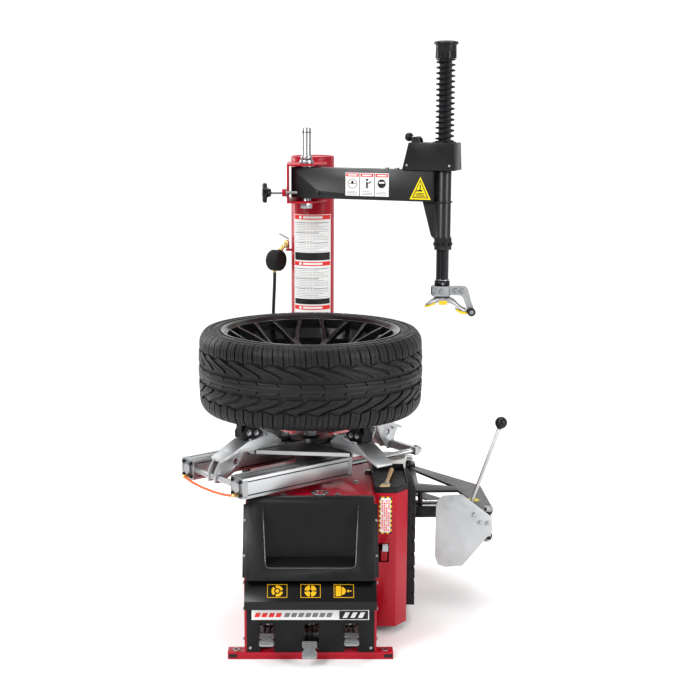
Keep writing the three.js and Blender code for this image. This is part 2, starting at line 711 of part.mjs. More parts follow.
arm.add(
  mesh('swing_arm', swingArm(), PAINT.black),
  mesh('tool_sleeve', toolSleeve(), PAINT.black),
  mesh('lock_housing', lockHousing(), PAINT.plastic),
  mesh('lock_lever', lockLever(), PAINT.gloss),
  mesh('tool_shaft', toolShaft(), PAINT.black),
  mesh('shaft_spring', tube(33, 23.2, ARM.reach, 0, LOCK.top + GAP, SHAFT.top - GAP), PAINT.black),
  mesh('shaft_cap', shaftCap(), PAINT.plastic),
);

// The head is clamped square to the room, so its own frame turns back by the arm's yaw.
const head = rotated(-ARM.yaw, ARM.reach, 0);
arm.add(head);

function mountHead() {
  const clamp = block(-34, 26, -25, 25, 1068, SHAFT.bottom - GAP);
  const flag = sweepY([
    [20, 1070], [20, 1101], [78, 1101], [86, 1094], [108, 1018], [102, 1006], [92, 1008], [68, 1070],
  ], -8, 8);
  const shoe = sweepY([
    [-54, 1036], [-54, 1041], [-38, 1047], [-24, 1070], [22, 1070], [42, 1060], [56, 1038], [82, 1030],
    [84, 1010], [64, 1010], [48, 1028], [0, 1040],
  ], -24, 24);
  return cut(join(clamp, flag, shoe), rod(4.6, [100, -20, 1014], [100, 20, 1014], 12));
}

function headRoller() {
  return join(
    rod(4, [100, -21, 1014], [100, 21, 1014], 12),
    rod(14, [100, -22, 1014], [100, -8 - GAP, 1014], 20),
    rod(14, [100, 8 + GAP, 1014], [100, 22, 1014], 20),
  );
}

head.add(
  mesh('mount_head', mountHead(), PAINT.aluminium),
  mesh('head_roller', headRoller(), PAINT.rubber),
);

// ---- Turntable, jaws and clamping cylinders --------------------------------------------------------------------

const table = rotated(TABLE.yaw);
machine.add(table);

function turntablePlate() {
  const { half, corner, top, thickness } = TABLE;
  const plan = [
    [corner, -half], [half, -corner], [half, corner], [corner, half],
    [-corner, half], [-half, corner], [-half, -corner], [-corner, -half],
  ];
  const slots = [45, 135, 225, 315].map((angle) => {
    const slot = block(JAW.inner - 118, 320, -JAW.slotHalfWidth, JAW.slotHalfWidth, top - 40, top + 5);
    return slot.rotateZ(THREE.MathUtils.degToRad(angle));
  });
  const solid = plate(plan, top - thickness, top);
  const hub = rod(70, [0, 0, top - thickness], [0, 0, top], 24);
  return join(cut(solid, ...slots), hub);
}

function turntableShaft() {
  const top = TABLE.top - TABLE.thickness - GAP;
  return join(
    rod(92, [0, 0, top - 12], [0, 0, top], 24),
    rod(52, [0, 0, 486], [0, 0, top - 10], 24),
    rod(35, [0, 0, 396], [0, 0, 490], 24),
  );
}

// Every slide is drawn along +x, its own outward direction.
function slideBody() {
  const base = TABLE.top + GAP;
  const wedge = sweepY([
    [JAW.inner, base], [JAW.inner, base + 18], [JAW.inner + 35, base + 44], [285, base + 30], [347, base],
  ], -JAW.halfWidth, JAW.halfWidth);
  // The key and the drooping nose are narrow enough to run in the plate's slot.
  const guide = JAW.slotHalfWidth - 1;
  const key = block(184, 262, -guide, guide, TABLE.top - TABLE.thickness, base + 1);
  const nose = sweepY([
    [296, base + 6], [334, base + 5], [JAW.nose, 596], [JAW.nose, 588], [300, base],
  ], -guide, guide);
  return join(wedge, key, nose);
}

// Hanging cheeks under one slide, which carry the bar across both clamping cylinders.
function hangingCheeks(barRadius) {
  return [-1, 1].map((side) => {
    const y0 = side < 0 ? -22 : 15;
    const cheek = sweepY([
      [268, 618], [JAW.nose - 6, 598], [barRadius + 14, 560], [barRadius + 16, 522], [barRadius - 14, 520], [290, 570],
    ], y0, y0 + 7);
    const hole = rod(11, [322, y0 - 5, 582], [322, y0 + 12, 582], 16);
    return cut(cheek, hole);
  });
}

function jawSlide(role) {
  if (role === 'barrels') {
    const span = CYLINDER.offset - CYLINDER.half - GAP;
    const bar = rod(10, [388, -span, CYLINDER.z], [388, span, CYLINDER.z]);
    return join(slideBody(), ...hangingCheeks(388), bar);
  }
  if (role === 'rods') {
    const span = CYLINDER.offset + 18;
    const bar = block(334, 350, -span, span, CYLINDER.z - 13, CYLINDER.z + 13);
    const holes = [-1, 1].map((side) => {
      const y = side * CYLINDER.offset;
      return rod(CYLINDER.rodRadius + GAP, [320, y, CYLINDER.z], [360, y, CYLINDER.z]);
    });
    return cut(join(slideBody(), ...hangingCheeks(342), bar), ...holes);
  }
  return slideBody();
}

function jawClaw() {
  const foot = TABLE.top + GAP + 46;
  const slope = TABLE.top + GAP + 31.2;
  return sweepY([
    [215, foot - 2.6], [285, slope], [CLAW.ledge, slope + 8], [CLAW.ledge, CLAW.ledgeZ], [CLAW.tooth, CLAW.ledgeZ],
    [CLAW.tooth, CLAW.topZ], [256, CLAW.topZ], [236, 690], [215, 668],
  ], -CLAW.halfWidth, CLAW.halfWidth);
}

// Slides run clockwise from the front left: 1 holds the cylinder barrels and 3 the piston rods.
const JAWS = [
  { angle: 225, role: 'barrels' },
  { angle: 135, role: 'plain' },
  { angle: 45, role: 'rods' },
  { angle: 315, role: 'plain' },
];
JAWS.forEach(({ angle, role }, i) => {
  const jaw = rotated(angle);
  jaw.add(
    mesh(`jaw_slide_${i + 1}`, jawSlide(role), PAINT.steel),
    mesh(`jaw_claw_${i + 1}`, jawClaw(), PAINT.black),
  );
  table.add(jaw);
});

// The two clamping cylinders lie side by side under the plate, along the line of slides 1 and 3.
const cylinders = rotated(45);
table.add(cylinders);

function cylinderBarrel(y) {
  const { left, right, half: h, z, bore, rodRadius } = CYLINDER;
  const body = join(
    block(left + 16, right - 14, y - h, y + h, z - h, z + h),
    block(left, left + 17, y - h, y + h, z - h, z + h),
    block(right - 15, right, y - h, y + h, z - h, z + h),
  );
  return cut(
    body,
    rod(bore, [left + 22, y, z], [right - 15, y, z], 24),
    rod(rodRadius + GAP, [right - 20, y, z], [right + 1, y, z]),
  );
}

function pistonRod(y) {
  const { z, bore, rodRadius } = CYLINDER;
  return join(
    rod(rodRadius, [-20, y, z], [372, y, z]),
    rod(bore - 1, [-20, y, z], [-4, y, z], 24),
    rod(15, [350 + GAP, y, z], [364, y, z], 6),
  );
}

[-1, 1].forEach((side, i) => {
  const y = side * CYLINDER.offset;
  cylinders.add(
    mesh(`cylinder_barrel_${i + 1}`, cylinderBarrel(y), PAINT.aluminium),
    mesh(`piston_rod_${i + 1}`, pistonRod(y), PAINT.steel),
  );
});

table.add(
  mesh('turntable_plate', turntablePlate(), PAINT.black),
  mesh('turntable_shaft', turntableShaft(), PAINT.cast),
);

// ---- Wheel held by the jaws --------------------------------------------------------------------------------------

// Adds the mirror image of a lower half profile, so that the whole is symmetric about the wheel's middle.
function mirrored(lowerHalf) {
  const upperHalf = lowerHalf.map(([r, z]) => [r, -z]).reverse();
  return [...lowerHalf, ...upperHalf];
}

function raised(points) {
  return points.map(([r, z]) => [r, z + WHEEL.z]);
}

function wheelRim() {
  const { half: w, flange, bore } = WHEEL;
  const outside = mirrored([[flange, -w], [flange, -w + 7], [281, -w + 8], [279, -88], [262, -56]]);
  const inside = mirrored([[flange - 7, -w], [bore, -w + 14], [bore, -88], [256, -54]]).reverse();
  const barrel = turned(raised([...outside, ...inside]), 0, 0, 48);
  const spokeSide = raised([[60, 10], [60, 42], [200, 78], [276, 112], [276, 84], [200, 50], [110, 14]]);
  const spokes = Array.from({ length: 10 }, (_, i) => sweepY(spokeSide, -13, 13).rotateZ(2 * Math.PI * i / 10));
  const hub = turned(raised([[36, 6], [80, 6], [80, 42], [36, 42]]), 0, 0, 24);
  return join(barrel, hub, ...spokes);
}

function tire() {
  const { half: w, tireRadius: R } = WHEEL;
  const outside = mirrored([
    [281.8, -w + 8.6], [297.8, -w + 8.6], [301, -w + 1], [322, -w], [346, -w + 6], [362, -w + 22], [R - 2, -80], [R, -40],
  ]);
  const inside = mirrored([[281.8, -106], [296, -108], [330, -114], [346, -104], [358, -76]]).reverse();
  return turned(raised([...outside, ...inside]), 0, 0, 48);
}

machine.add(
  mesh('wheel_rim', wheelRim(), PAINT.gloss),
  mesh('tire', tire(), PAINT.rubber),
);

machine.position.set(-ORIGIN.x, -ORIGIN.y, 0);

export default machine;
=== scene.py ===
"""Looks for the swing-arm tire changer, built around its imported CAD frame.

Places are written in millimetres in the machine's own layout: X to the right, Y to the back, Z up, with the
turntable's axis at X = Y = 0. at() turns them into the frame's metres.
"""
import math

import bmesh
import bpy
from mathutils import Matrix, Vector


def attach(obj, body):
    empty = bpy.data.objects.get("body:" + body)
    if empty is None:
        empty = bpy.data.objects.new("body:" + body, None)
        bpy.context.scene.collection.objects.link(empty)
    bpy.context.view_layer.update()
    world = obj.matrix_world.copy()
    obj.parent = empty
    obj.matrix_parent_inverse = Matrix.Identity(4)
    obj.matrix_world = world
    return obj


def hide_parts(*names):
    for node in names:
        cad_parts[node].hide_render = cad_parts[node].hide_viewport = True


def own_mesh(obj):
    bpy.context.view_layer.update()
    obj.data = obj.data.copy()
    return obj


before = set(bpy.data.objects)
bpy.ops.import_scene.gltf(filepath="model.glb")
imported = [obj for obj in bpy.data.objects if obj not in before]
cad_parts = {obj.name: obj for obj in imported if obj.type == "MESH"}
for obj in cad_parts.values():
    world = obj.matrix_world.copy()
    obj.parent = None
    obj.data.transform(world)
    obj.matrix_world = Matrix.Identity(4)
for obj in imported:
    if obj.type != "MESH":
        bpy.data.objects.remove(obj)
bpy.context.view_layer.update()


# ---- Driving places and sizes, in millimetres ----------------------------------------------------

ORIGIN = Vector((109.9, 53.5, 0.0))      # the frame's origin, in the machine's layout
TABLE_YAW = math.radians(-7)
ARM_YAW = math.radians(-22.4)
PIVOT = Vector((-14, 328, 0))
ARM_REACH = 498
WHEEL_Z = 846
SLIDE_ANGLES = [math.radians(a) for a in (218, 128, 38, 308)]
CYLINDER_ANGLE = math.radians(38)
CYLINDER_Z = 536
COLUMN_X, COLUMN_Y, COLUMN_RADIUS = 8, 525, 78
AIR_UNIT = (-240, 580)


def at(x, y, z):
    """A place in the machine's layout, in millimetres, as a place in the frame, in metres."""
    return (Vector((x, y, z)) - ORIGIN) / 1000


def moved(x, y, z=0.0, turn=0.0):
    """A local frame, in millimetres, whose origin is at (x, y, z) and which is turned about Z."""
    return Matrix.Translation((x, y, z)) @ Matrix.Rotation(turn, 4, "Z")


def around(part, count):
    """The angle of a part of a full turn that is split into count."""
    return 2 * math.pi * part / count


ROOM = Matrix.Identity(4)
ARM = moved(PIVOT.x, PIVOT.y, 0, ARM_YAW)
TOOL = moved(*(ARM @ Vector((ARM_REACH, 0, 0))))
TABLE = moved(0, 0, 0, TABLE_YAW)


# ---- Camera and hose -----------------------------------------------------------------------------


CAMERA_PLACE = (0, -4620, 1776)
CAMERA_TILT_DOWN = 11.0                 # degrees
CAMERA_LENS = 72.69                     # millimetres, on a 36 mm sensor
CAMERA_SHIFT = (0.0564, 0.0119)


def add_camera():
    """A camera at eye height in front of the machine, tilted down a little and shifted to frame it."""
    data = bpy.data.cameras.new("camera")
    data.sensor_width = 36
    data.lens = CAMERA_LENS
    data.shift_x, data.shift_y = CAMERA_SHIFT
    camera = bpy.data.objects.new("camera", data)
    camera.location = at(*CAMERA_PLACE)
    camera.rotation_euler = (math.radians(90 - CAMERA_TILT_DOWN), 0, 0)
    bpy.context.collection.objects.link(camera)
    bpy.context.scene.camera = camera


HOSE_ROUTE = [
    (-131, 512, 1098.6), (-131, 512, 1078), (-132, 512, 1050), (-134, 513, 1010),
    (-136, 514, 970), (-137, 515, 930), (-138, 517, 890), (-139, 520, 850),
    (-141, 524, 810), (-144, 529, 770), (-149, 535, 732), (-156, 542, 694),
    (-165, 550, 656), (-176, 558, 618), (-189, 566, 583), (-204, 573, 551),
    (-219, 577, 522), (-231, 579, 496), (-238, 580, 472), (-240, 580, 455),
    (-240, 580, 440.4),
]


# ---- Materials -----------------------------------------------------------------------------------


class Nodes:
    """A short hand for building one material's node tree."""

    def __init__(self, name, color, roughness, metallic=0.0, coat=0.0, specular=0.5):
        self.material = bpy.data.materials.new(name)
        self.material.use_nodes = True
        self.tree = self.material.node_tree
        self.shader = self.tree.nodes["Principled BSDF"]
        self.shader.inputs["Base Color"].default_value = (*color, 1)
        self.shader.inputs["Roughness"].default_value = roughness
        self.shader.inputs["Metallic"].default_value = metallic
        self.shader.inputs["Coat Weight"].default_value = coat
        self.shader.inputs["Specular IOR Level"].default_value = specular
        self.color = color
        self.roughness = roughness
        self.place = self.add("ShaderNodeTexCoord").outputs["Object"]

    def add(self, kind, **settings):
        """Adds a node and gives it its settings."""
        node = self.tree.nodes.new(kind)
        for name, value in settings.items():
            setattr(node, name, value)
        return node

    def link(self, output, target):
        """Joins one node's output to another's input."""
        self.tree.links.new(output, target)

    def noise(self, scale, detail=3.0, stretch=(1, 1, 1)):
        """A noise value from 0 to 1; stretch above 1 along an axis makes the grain finer along it."""
        mapping = self.add("ShaderNodeMapping")
        mapping.inputs["Scale"].default_value = stretch
        noise = self.add("ShaderNodeTexNoise")
        noise.inputs["Scale"].default_value = scale
        noise.inputs["Detail"].default_value = detail
        self.link(self.place, mapping.inputs["Vector"])
        self.link(mapping.outputs["Vector"], noise.inputs["Vector"])
        return noise.outputs["Fac"]

    def spread(self, value, low, high):
        """Maps a value whose useful part lies between 0.3 and 0.7 onto low..high."""
        remap = self.add("ShaderNodeMapRange")
        remap.inputs["From Min"].default_value = 0.3
        remap.inputs["From Max"].default_value = 0.7
        remap.inputs["To Min"].default_value = low
        remap.inputs["To Max"].default_value = high
        self.link(value, remap.inputs["Value"])
        return remap.outputs["Result"]

    def vary_color(self, value, amount, other=None):
        """The colour drifts towards another one, or to a darker one, as the value rises."""
        other = other or tuple(c * (1 - amount) for c in self.color)
        mix = self.add("ShaderNodeMix", data_type="RGBA")
        mix.inputs[6].default_value = (*self.color, 1)
        mix.inputs[7].default_value = (*other, 1)
        self.link(value, mix.inputs[0])
        self.link(mix.outputs[2], self.shader.inputs["Base Color"])

    def vary_roughness(self, value, amount):
        """The roughness moves up and down by an amount with the value."""
        self.link(self.spread(value, self.roughness - amount, self.roughness + amount),
                  self.shader.inputs["Roughness"])

    def bump(self, value, depth):
        """Raises the surface by depth, in metres, where the value is high."""
        bump = self.add("ShaderNodeBump")
        bump.inputs["Distance"].default_value = depth
        self.link(value, bump.inputs["Height"])
        self.link(bump.outputs["Normal"], self.shader.inputs["Normal"])


def powder_coat(name, color, roughness, coat=0.3, specular=0.25):
    """Baked paint with a very fine orange peel."""
    m = Nodes(name, color, roughness, coat=coat, specular=specular)
    m.shader.inputs["Coat Roughness"].default_value = 0.12
    m.vary_color(m.noise(3.5), 0.16)
    m.vary_roughness(m.noise(9), 0.05)
    m.bump(m.noise(900, 2), 0.00006)
    return m.material


def moulded(name, color, roughness, grain=1600, depth=0.00008, specular=0.22):
    """Plastic or rubber with a fine moulded grain."""
    m = Nodes(name, color, roughness, specular=specular)
    m.vary_color(m.noise(5), 0.2)
    m.vary_roughness(m.noise(22), 0.07)
    m.bump(m.noise(grain, 2), depth)
    return m.material


def brushed(name, color, roughness, stretch=(1, 1, 40)):
    """Steel or aluminium with fine parallel grain and soft smudges."""
    m = Nodes(name, color, roughness, metallic=1.0)
    m.vary_color(m.noise(7), 0.14)
    m.vary_roughness(m.noise(60, 4, stretch), 0.09)
    m.bump(m.noise(240, 3, stretch), 0.00002)
    return m.material


def cast(name, color, roughness, metallic=1.0):
    """Sand-cast metal with a pitted skin."""
    m = Nodes(name, color, roughness, metallic=metallic)
    m.vary_color(m.noise(14), 0.25)
    m.vary_roughness(m.noise(40), 0.1)
    m.bump(m.noise(420, 5), 0.0003)
    return m.material


def wood(name, color, dark):
    """Bare wood; its grain runs along Y and drifts to the dark colour."""
    m = Nodes(name, color, 0.55)
    grain = m.noise(12, 4, (14, 1, 14))
    m.vary_color(m.spread(grain, 0, 1), 0, dark)
    m.vary_roughness(grain, 0.08)
    m.bump(grain, 0.0002)
    return m.material


RED = powder_coat("red powder coat", (0.36, 0.002, 0.014), 0.36, 0.12, 0.2)
BLACK = powder_coat("black powder coat", (0.006, 0.006, 0.0066), 0.34, 0.06, 0.3)
GLOSS_BLACK = powder_coat("gloss black paint", (0.003, 0.003, 0.0034), 0.18, 0.06, 0.2)
PANEL_BLACK = powder_coat("matt black paint", (0.009, 0.009, 0.0095), 0.6, 0.0, 0.15)
CONSOLE = moulded("console plastic", (0.0055, 0.0055, 0.006), 0.38)
# Glossy plastic for the console's lip; its grey, lighter than the console's, is a painted highlight.
LIP_HIGHLIGHT = moulded("glossy plastic lip with painted highlight", (0.035, 0.035, 0.036), 0.22, specular=0.9)
PLASTIC = moulded("black plastic", (0.0075, 0.0075, 0.008), 0.3, 900, 0.00004)
RUBBER = moulded("rubber", (0.012, 0.012, 0.0125), 0.75)
HOSE = moulded("hose rubber", (0.012, 0.012, 0.013), 0.45, 700, 0.00003)
TIRE = moulded("tire rubber", (0.0065, 0.0065, 0.0068), 0.46, 700, 0.00018)
WHITE = moulded("white plastic", (0.78, 0.78, 0.74), 0.42)
LABEL_WHITE = moulded("white vinyl", (0.86, 0.86, 0.85), 0.35, 500, 0.00001)
LABEL_RED = moulded("red vinyl", (0.78, 0.03, 0.022), 0.35, 500, 0.00001)
LABEL_GREY = moulded("grey print", (0.2, 0.2, 0.21), 0.4, 500, 0.00001)
# Black for printed marks, and also for the painted shade inside slots, louvres and grooves.
PRINT_AND_SHADE_BLACK = moulded("black print and painted shade", (0.012, 0.012, 0.012), 0.4, 500, 0.00001)
AMBER = moulded("amber vinyl", (0.72, 0.4, 0.006), 0.38, 500, 0.00001)
YELLOW = moulded("yellow vinyl", (0.86, 0.66, 0.006), 0.38, 500, 0.00001)
NYLON = moulded("yellow nylon", (0.76, 0.52, 0.02), 0.42, 400, 0.0001)
ORANGE = moulded("orange hose", (0.75, 0.12, 0.02), 0.35, 500, 0.00002)
BLUE = moulded("blue tube", (0.02, 0.12, 0.5), 0.3, 500, 0.00002)
STEEL = brushed("zinc plated steel", (0.36, 0.37, 0.38), 0.3)
SLIDE_STEEL = brushed("milled steel", (0.52, 0.53, 0.54), 0.46, (40, 40, 1))
DARK_STEEL = brushed("black oxide steel", (0.02, 0.02, 0.022), 0.4)
CHROME = brushed("hard chrome", (0.48, 0.49, 0.5), 0.2)
ANODISED = brushed("anodised aluminium", (0.5, 0.51, 0.52), 0.4, (1, 1, 60))
CAST_ALUMINIUM = cast("cast aluminium", (0.42, 0.43, 0.44), 0.42)
BLADE_ALUMINIUM = cast("blasted aluminium", (0.5, 0.51, 0.52), 0.46)
CAST_IRON = cast("cast iron", (0.09, 0.09, 0.095), 0.6, 0.6)
RIM = powder_coat("rim paint", (0.0035, 0.0035, 0.004), 0.2, 0.12, 0.25)
# A lighter grey put on the rim's bevelled edges as a painted highlight.
RIM_HIGHLIGHT = powder_coat("painted highlight on the rim edges", (0.085, 0.085, 0.09), 0.22, 0.3, 0.8)
BRASS = brushed("brass", (0.72, 0.5, 0.2), 0.28)
WOOD = wood("bare wood", (0.56, 0.36, 0.18), (0.4, 0.23, 0.1))
BRISTLE = moulded("straw bristle", (0.62, 0.45, 0.22), 0.8, 300, 0.0003)


# ---- Mesh building -------------------------------------------------------------------------------


class Shape:
    """Several closed bodies of one rigid piece, drawn in millimetres in a local frame."""

    def __init__(self, local=ROOM):
        self.mesh = bmesh.new()
        self.local = local
        self.materials = []

    def _slot(self, material):
        """The number of a material's slot, which is made when it is first asked for."""
        if material not in self.materials:
            self.materials.append(material)
        return self.materials.index(material)

    def add(self, rings, material, close_ring=True, caps=True, wrap=False, smooth=False):
        """Skins equal rings of points; caps closes both ends, wrap joins the last ring to the first."""
        slot = self._slot(material)
        rows = [[self.mesh.verts.new(self.local @ Vector(p)) for p in ring] for ring in rings]
        count = len(rows[0])
        pairs = list(zip(rows, rows[1:])) + ([(rows[-1], rows[0])] if wrap else [])
        made = []
        for low, high in pairs:
            for i in range(count if close_ring else count - 1):
                j = (i + 1) % count
                made.append(self.mesh.faces.new((low[i], low[j], high[j], high[i])))
        for face in made:
            face.smooth = smooth
        if caps and not wrap:
            made.append(self.mesh.faces.new(list(reversed(rows[0]))))
            made.append(self.mesh.faces.new(rows[-1]))
        for face in made:
            face.material_index = slot
        return self

    def box(self, lo, hi, material):
        """An upright block between two opposite corners."""
        (x0, y0, z0), (x1, y1, z1) = lo, hi
        ring = [(x0, y0), (x1, y0), (x1, y1), (x0, y1)]
        return self.add([[(x, y, z) for x, y in ring] for z in (z0, z1)], material)

    def plate(self, outline, z0, z1, material):
        """A flat outline of (x, y) points between two heights."""
        return self.add([[(x, y, z) for x, y in outline] for z in (z0, z1)], material)

    def slab_y(self, outline, y0, y1, material):
        """An outline of (x, z) points between two depths."""
        return self.add([[(x, y, z) for x, z in outline] for y in (max(y0, y1), min(y0, y1))], material)

    def slab_x(self, outline, x0, x1, material):
        """An outline of (y, z) points between two sides."""
        return self.add([[(x, y, z) for y, z in outline] for x in (min(x0, x1), max(x0, x1))], material)

    def turned(self, start, end, profile, material, sides=24, smooth=True):
        """Spins a profile of (distance along, radius) about the line from start to end."""
        start = Vector(start)
        along = (Vector(end) - start).normalized()
        side = along.orthogonal().normalized()
        other = along.cross(side)
        rings = []
        for distance, radius in profile:
            ring = []
            for i in range(sides):
                angle = around(i + 0.5, sides)
                reach = side * math.cos(angle) + other * math.sin(angle)
                ring.append(start + along * distance + reach * max(radius, 0.01))
            rings.append(ring)
        return self.add(rings, material, smooth=smooth)

    def bar(self, start, end, radius, material, sides=24, edge=None):
        """A round bar with softened ends."""
        length = (Vector(end) - Vector(start)).length
        edge = min(radius * 0.18, length * 0.2) if edge is None else edge
        profile = [(0, radius - edge), (edge, radius), (length - edge, radius), (length, radius - edge)]
        return self.turned(start, end, profile, material, sides, smooth=sides > 8)

    def ring(self, start, end, outer, inner, material, sides=32):
        """A tube with a round hole."""
        start = Vector(start)
        end = Vector(end)
        along = (end - start).normalized()
        side = along.orthogonal().normalized()
        other = along.cross(side)
        edge = (outer - inner) * 0.12
        length = (end - start).length
        section = [(0, inner), (0, outer - edge), (edge, outer), (length - edge, outer),
                   (length, outer - edge), (length, inner)]
        rings = []
        for i in range(sides):
            angle = around(i + 0.5, sides)
            reach = side * math.cos(angle) + other * math.sin(angle)
            rings.append([start + along * d + reach * r for d, r in section])
        return self.add(rings, material, wrap=True, smooth=True)

    def ball(self, centre, radius, material, sides=24):
        """A sphere whose poles lie above and below its centre."""
        centre = Vector(centre)
        steps = sides // 2
        profile = [(radius * (1 - math.cos(math.pi * i / steps)), radius * math.sin(math.pi * i / steps))
                   for i in range(steps + 1)]
        start = centre - Vector((0, 0, radius))
        return self.turned(start, centre, profile, material, sides)

    def tube(self, points, radius, material, sides=12, closed=False):
        """A round tube along a smooth path of points."""
        points = [Vector(p) for p in points]
        count = len(points)
        rings = []
        normal = None
        for i, point in enumerate(points):
            before = points[i - 1] if i or closed else points[i]
            after = points[(i + 1) % count] if i + 1 < count or closed else points[i]
            along = (after - before).normalized()
            if normal is None:
                normal = along.orthogonal().normalized()
            normal = (normal - along * normal.dot(along)).normalized()
            other = along.cross(normal)
            rings.append([point + (normal * math.cos(a) + other * math.sin(a)) * radius
                          for a in (around(k, sides) for k in range(sides))])
        return self.add(rings, material, wrap=closed, smooth=True)

    def bolt(self, seat, direction, size, material=None, washer=True):
        """A hex head on a washer; size is the thread's diameter."""
        material = material or STEEL
        seat = Vector(seat)
        direction = Vector(direction).normalized()
        if washer:
            self.bar(seat, seat + direction * size * 0.22, size * 1.15, material, 20)
            seat = seat + direction * size * 0.22
        head = size * 0.92
        profile = [(0, head), (size * 0.5, head), (size * 0.62, head * 0.8)]
        return self.turned(seat, seat + direction, profile, material, 6, smooth=False)

    def screw(self, seat, direction, radius, material=None):
        """A low round head with a dimple in the middle."""
        material = material or STEEL
        profile = [(0, radius), (radius * 0.3, radius), (radius * 0.55, radius * 0.72),
                   (radius * 0.6, radius * 0.3), (radius * 0.3, radius * 0.22)]
        return self.turned(seat, Vector(seat) + Vector(direction), profile, material, 16)

    def piece(self, name, body, bevel=0.0, replaces=()):
        """Turns what was drawn into one Blender object that rides on a body."""
        bmesh.ops.recalc_face_normals(self.mesh, faces=self.mesh.faces)
        data = bpy.data.meshes.new(name)
        bmesh.ops.transform(self.mesh, matrix=Matrix.Scale(0.001, 4) @ Matrix.Translation(-ORIGIN),
                            verts=self.mesh.verts)
        self.mesh.to_mesh(data)
        self.mesh.free()
        for material in self.materials:
            data.materials.append(material)
        thing = bpy.data.objects.new(name, data)
        bpy.context.collection.objects.link(thing)
        if bevel:
            soften(thing, bevel)
        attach(thing, body)
        if replaces:
            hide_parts(*replaces)
        return thing


BEVEL_SEGMENTS = 2
BEVEL_ANGLE = math.radians(32)          # edges that turn by less stay as they are
SMOOTH_ANGLE = math.radians(38)         # faces that meet at more keep a sharp shading edge
WELD_DISTANCE = 0.00002                 # metres
FLAT_ANGLE = math.radians(0.5)


def soften(thing, width):
    """Rounds the hard edges; width is in millimetres."""
    bevel = thing.modifiers.new("edges", "BEVEL")
    bevel.width = width / 1000
    bevel.segments = BEVEL_SEGMENTS
    bevel.limit_method = "ANGLE"
    bevel.angle_limit = BEVEL_ANGLE
    bevel.use_clamp_overlap = True
    bevel.harden_normals = False


def finish_node(name, material, bevel):
    """Gives a CAD node its material and rounds its edges."""
    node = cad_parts[name]
    node.data.materials.clear()
    node.data.materials.append(material)
    weld = node.modifiers.new("weld", "WELD")
    weld.merge_threshold = WELD_DISTANCE
    flat = node.modifiers.new("flat faces", "DECIMATE")
    flat.decimate_type = "DISSOLVE"
    flat.angle_limit = FLAT_ANGLE
    soften(node, bevel)
    smooth = node.modifiers.new("smooth", "EDGE_SPLIT")
    smooth.split_angle = SMOOTH_ANGLE
    for polygon in node.data.polygons:
        polygon.use_smooth = True
    return node


# ---- CAD nodes that stay, with their finish ------------------------------------------------------

FINISHES = {
    RED: ["foot_front", "foot_rear", "cabinet_shell", "side_locker", "column", "swing_bracket"],
    BLACK: ["breaker_mount", "breaker_arm", "swing_arm", "tool_sleeve", "pedal_frame", "turntable_plate"],
    GLOSS_BLACK: ["pedal_hood"],
    PANEL_BLACK: ["pedal_panel"],
    CONSOLE: ["front_console", "soap_tray"],
    PLASTIC: ["lock_housing", "air_unit"],
    CAST_IRON: ["gearbox", "gearbox_pulley", "motor_pulley", "turntable_shaft"],
    CAST_ALUMINIUM: ["motor"],
    RUBBER: ["drive_belt", "bead_pad"],
    ANODISED: ["breaker_cylinder", "cylinder_barrel_1", "cylinder_barrel_2"],
    BLADE_ALUMINIUM: ["breaker_blade"],
    STEEL: ["pivot_shaft", "tire_lever", "inflator_trigger"],
    SLIDE_STEEL: [f"jaw_slide_{i}" for i in range(1, 5)],
    DARK_STEEL: ["tool_shaft"],
    CHROME: ["breaker_rod", "piston_rod_1", "piston_rod_2"],
}
BODY_BEVEL = 1.6
THIN_BEVEL = 0.7
THIN = {"pedal_hood", "pedal_panel", "soap_tray", "cabinet_shell", "side_locker", "inflator_trigger",
        "swing_bracket"}
for finish, names in FINISHES.items():
    for node_name in names:
        finish_node(node_name, finish, THIN_BEVEL if node_name in THIN else BODY_BEVEL)


# ---- Wheel: tire and rim -------------------------------------------------------------------------

TIRE_RADIUS = 372
TIRE_HALF = 132
TREAD_DEPTH = 8.5
SHOULDER_BLOCKS = 66
MID_BLOCKS = SHOULDER_BLOCKS // 2
WHEEL_SIDES = 144
SIDEWALL_RIBS = 120


def crown(z):
    """The radius of the tread's outer face at a height from the tire's middle."""
    flat = 92
    if abs(z) <= flat:
        return TIRE_RADIUS - 3.5 * (z / flat) ** 2
    return TIRE_RADIUS - 3.5 - 18 * ((abs(z) - flat) / 39) ** 2.2


def tread_block(shape, columns, steps=4, depth=TREAD_DEPTH, edge=1.0):
    """One block; a column gives (distance round the tread, height) for a share from 0 to 1 along it."""
    rings = []
    for i in range(steps + 1):
        share = i / steps
        drop = edge if i in (0, steps) else 0
        places = [column(share) for column in columns]
        first, last = places[0], places[-1]
        section = [(first[0], crown(first[1]) - drop - edge, first[1])]
        for k, (s, z) in enumerate(places):
            inset = edge * ((k == 0) - (k == len(places) - 1))
            section.append((s + inset, crown(z) - drop, z))
        section.append((last[0], crown(last[1]) - drop - edge, last[1]))
        section += [(s, crown(z) - depth - 2, z) for s, z in reversed(places)]
        rings.append([(r * math.cos(s / TIRE_RADIUS), r * math.sin(s / TIRE_RADIUS), WHEEL_Z + z)
                      for s, r, z in section])
    shape.add(rings, TIRE)


def add_wheel_section(shape, section, material, smooth):
    """Spins a closed section of (height from the wheel's middle, radius) about the wheel's axis."""
    rings = []
    for i in range(WHEEL_SIDES):
        angle = around(i, WHEEL_SIDES)
        rings.append([(r * math.cos(angle), r * math.sin(angle), WHEEL_Z + z) for z, r in section])
    shape.add(rings, material, wrap=True, smooth=smooth)


def between(start, end):
    """A straight line from one (distance, height) to another."""
    return lambda share: tuple(a + (b - a) * share for a, b in zip(start, end))


def swept(start, outer_z, inner_z, side):
    """The slanting edge of a mid block: long and shallow first, then steep at the circumferential groove."""
    def place(share):
        run = 92 * min(share / 0.7, 1) + 13 * max(share - 0.7, 0) / 0.3
        return start + run, side * (outer_z + (inner_z - outer_z) * share)
    return place


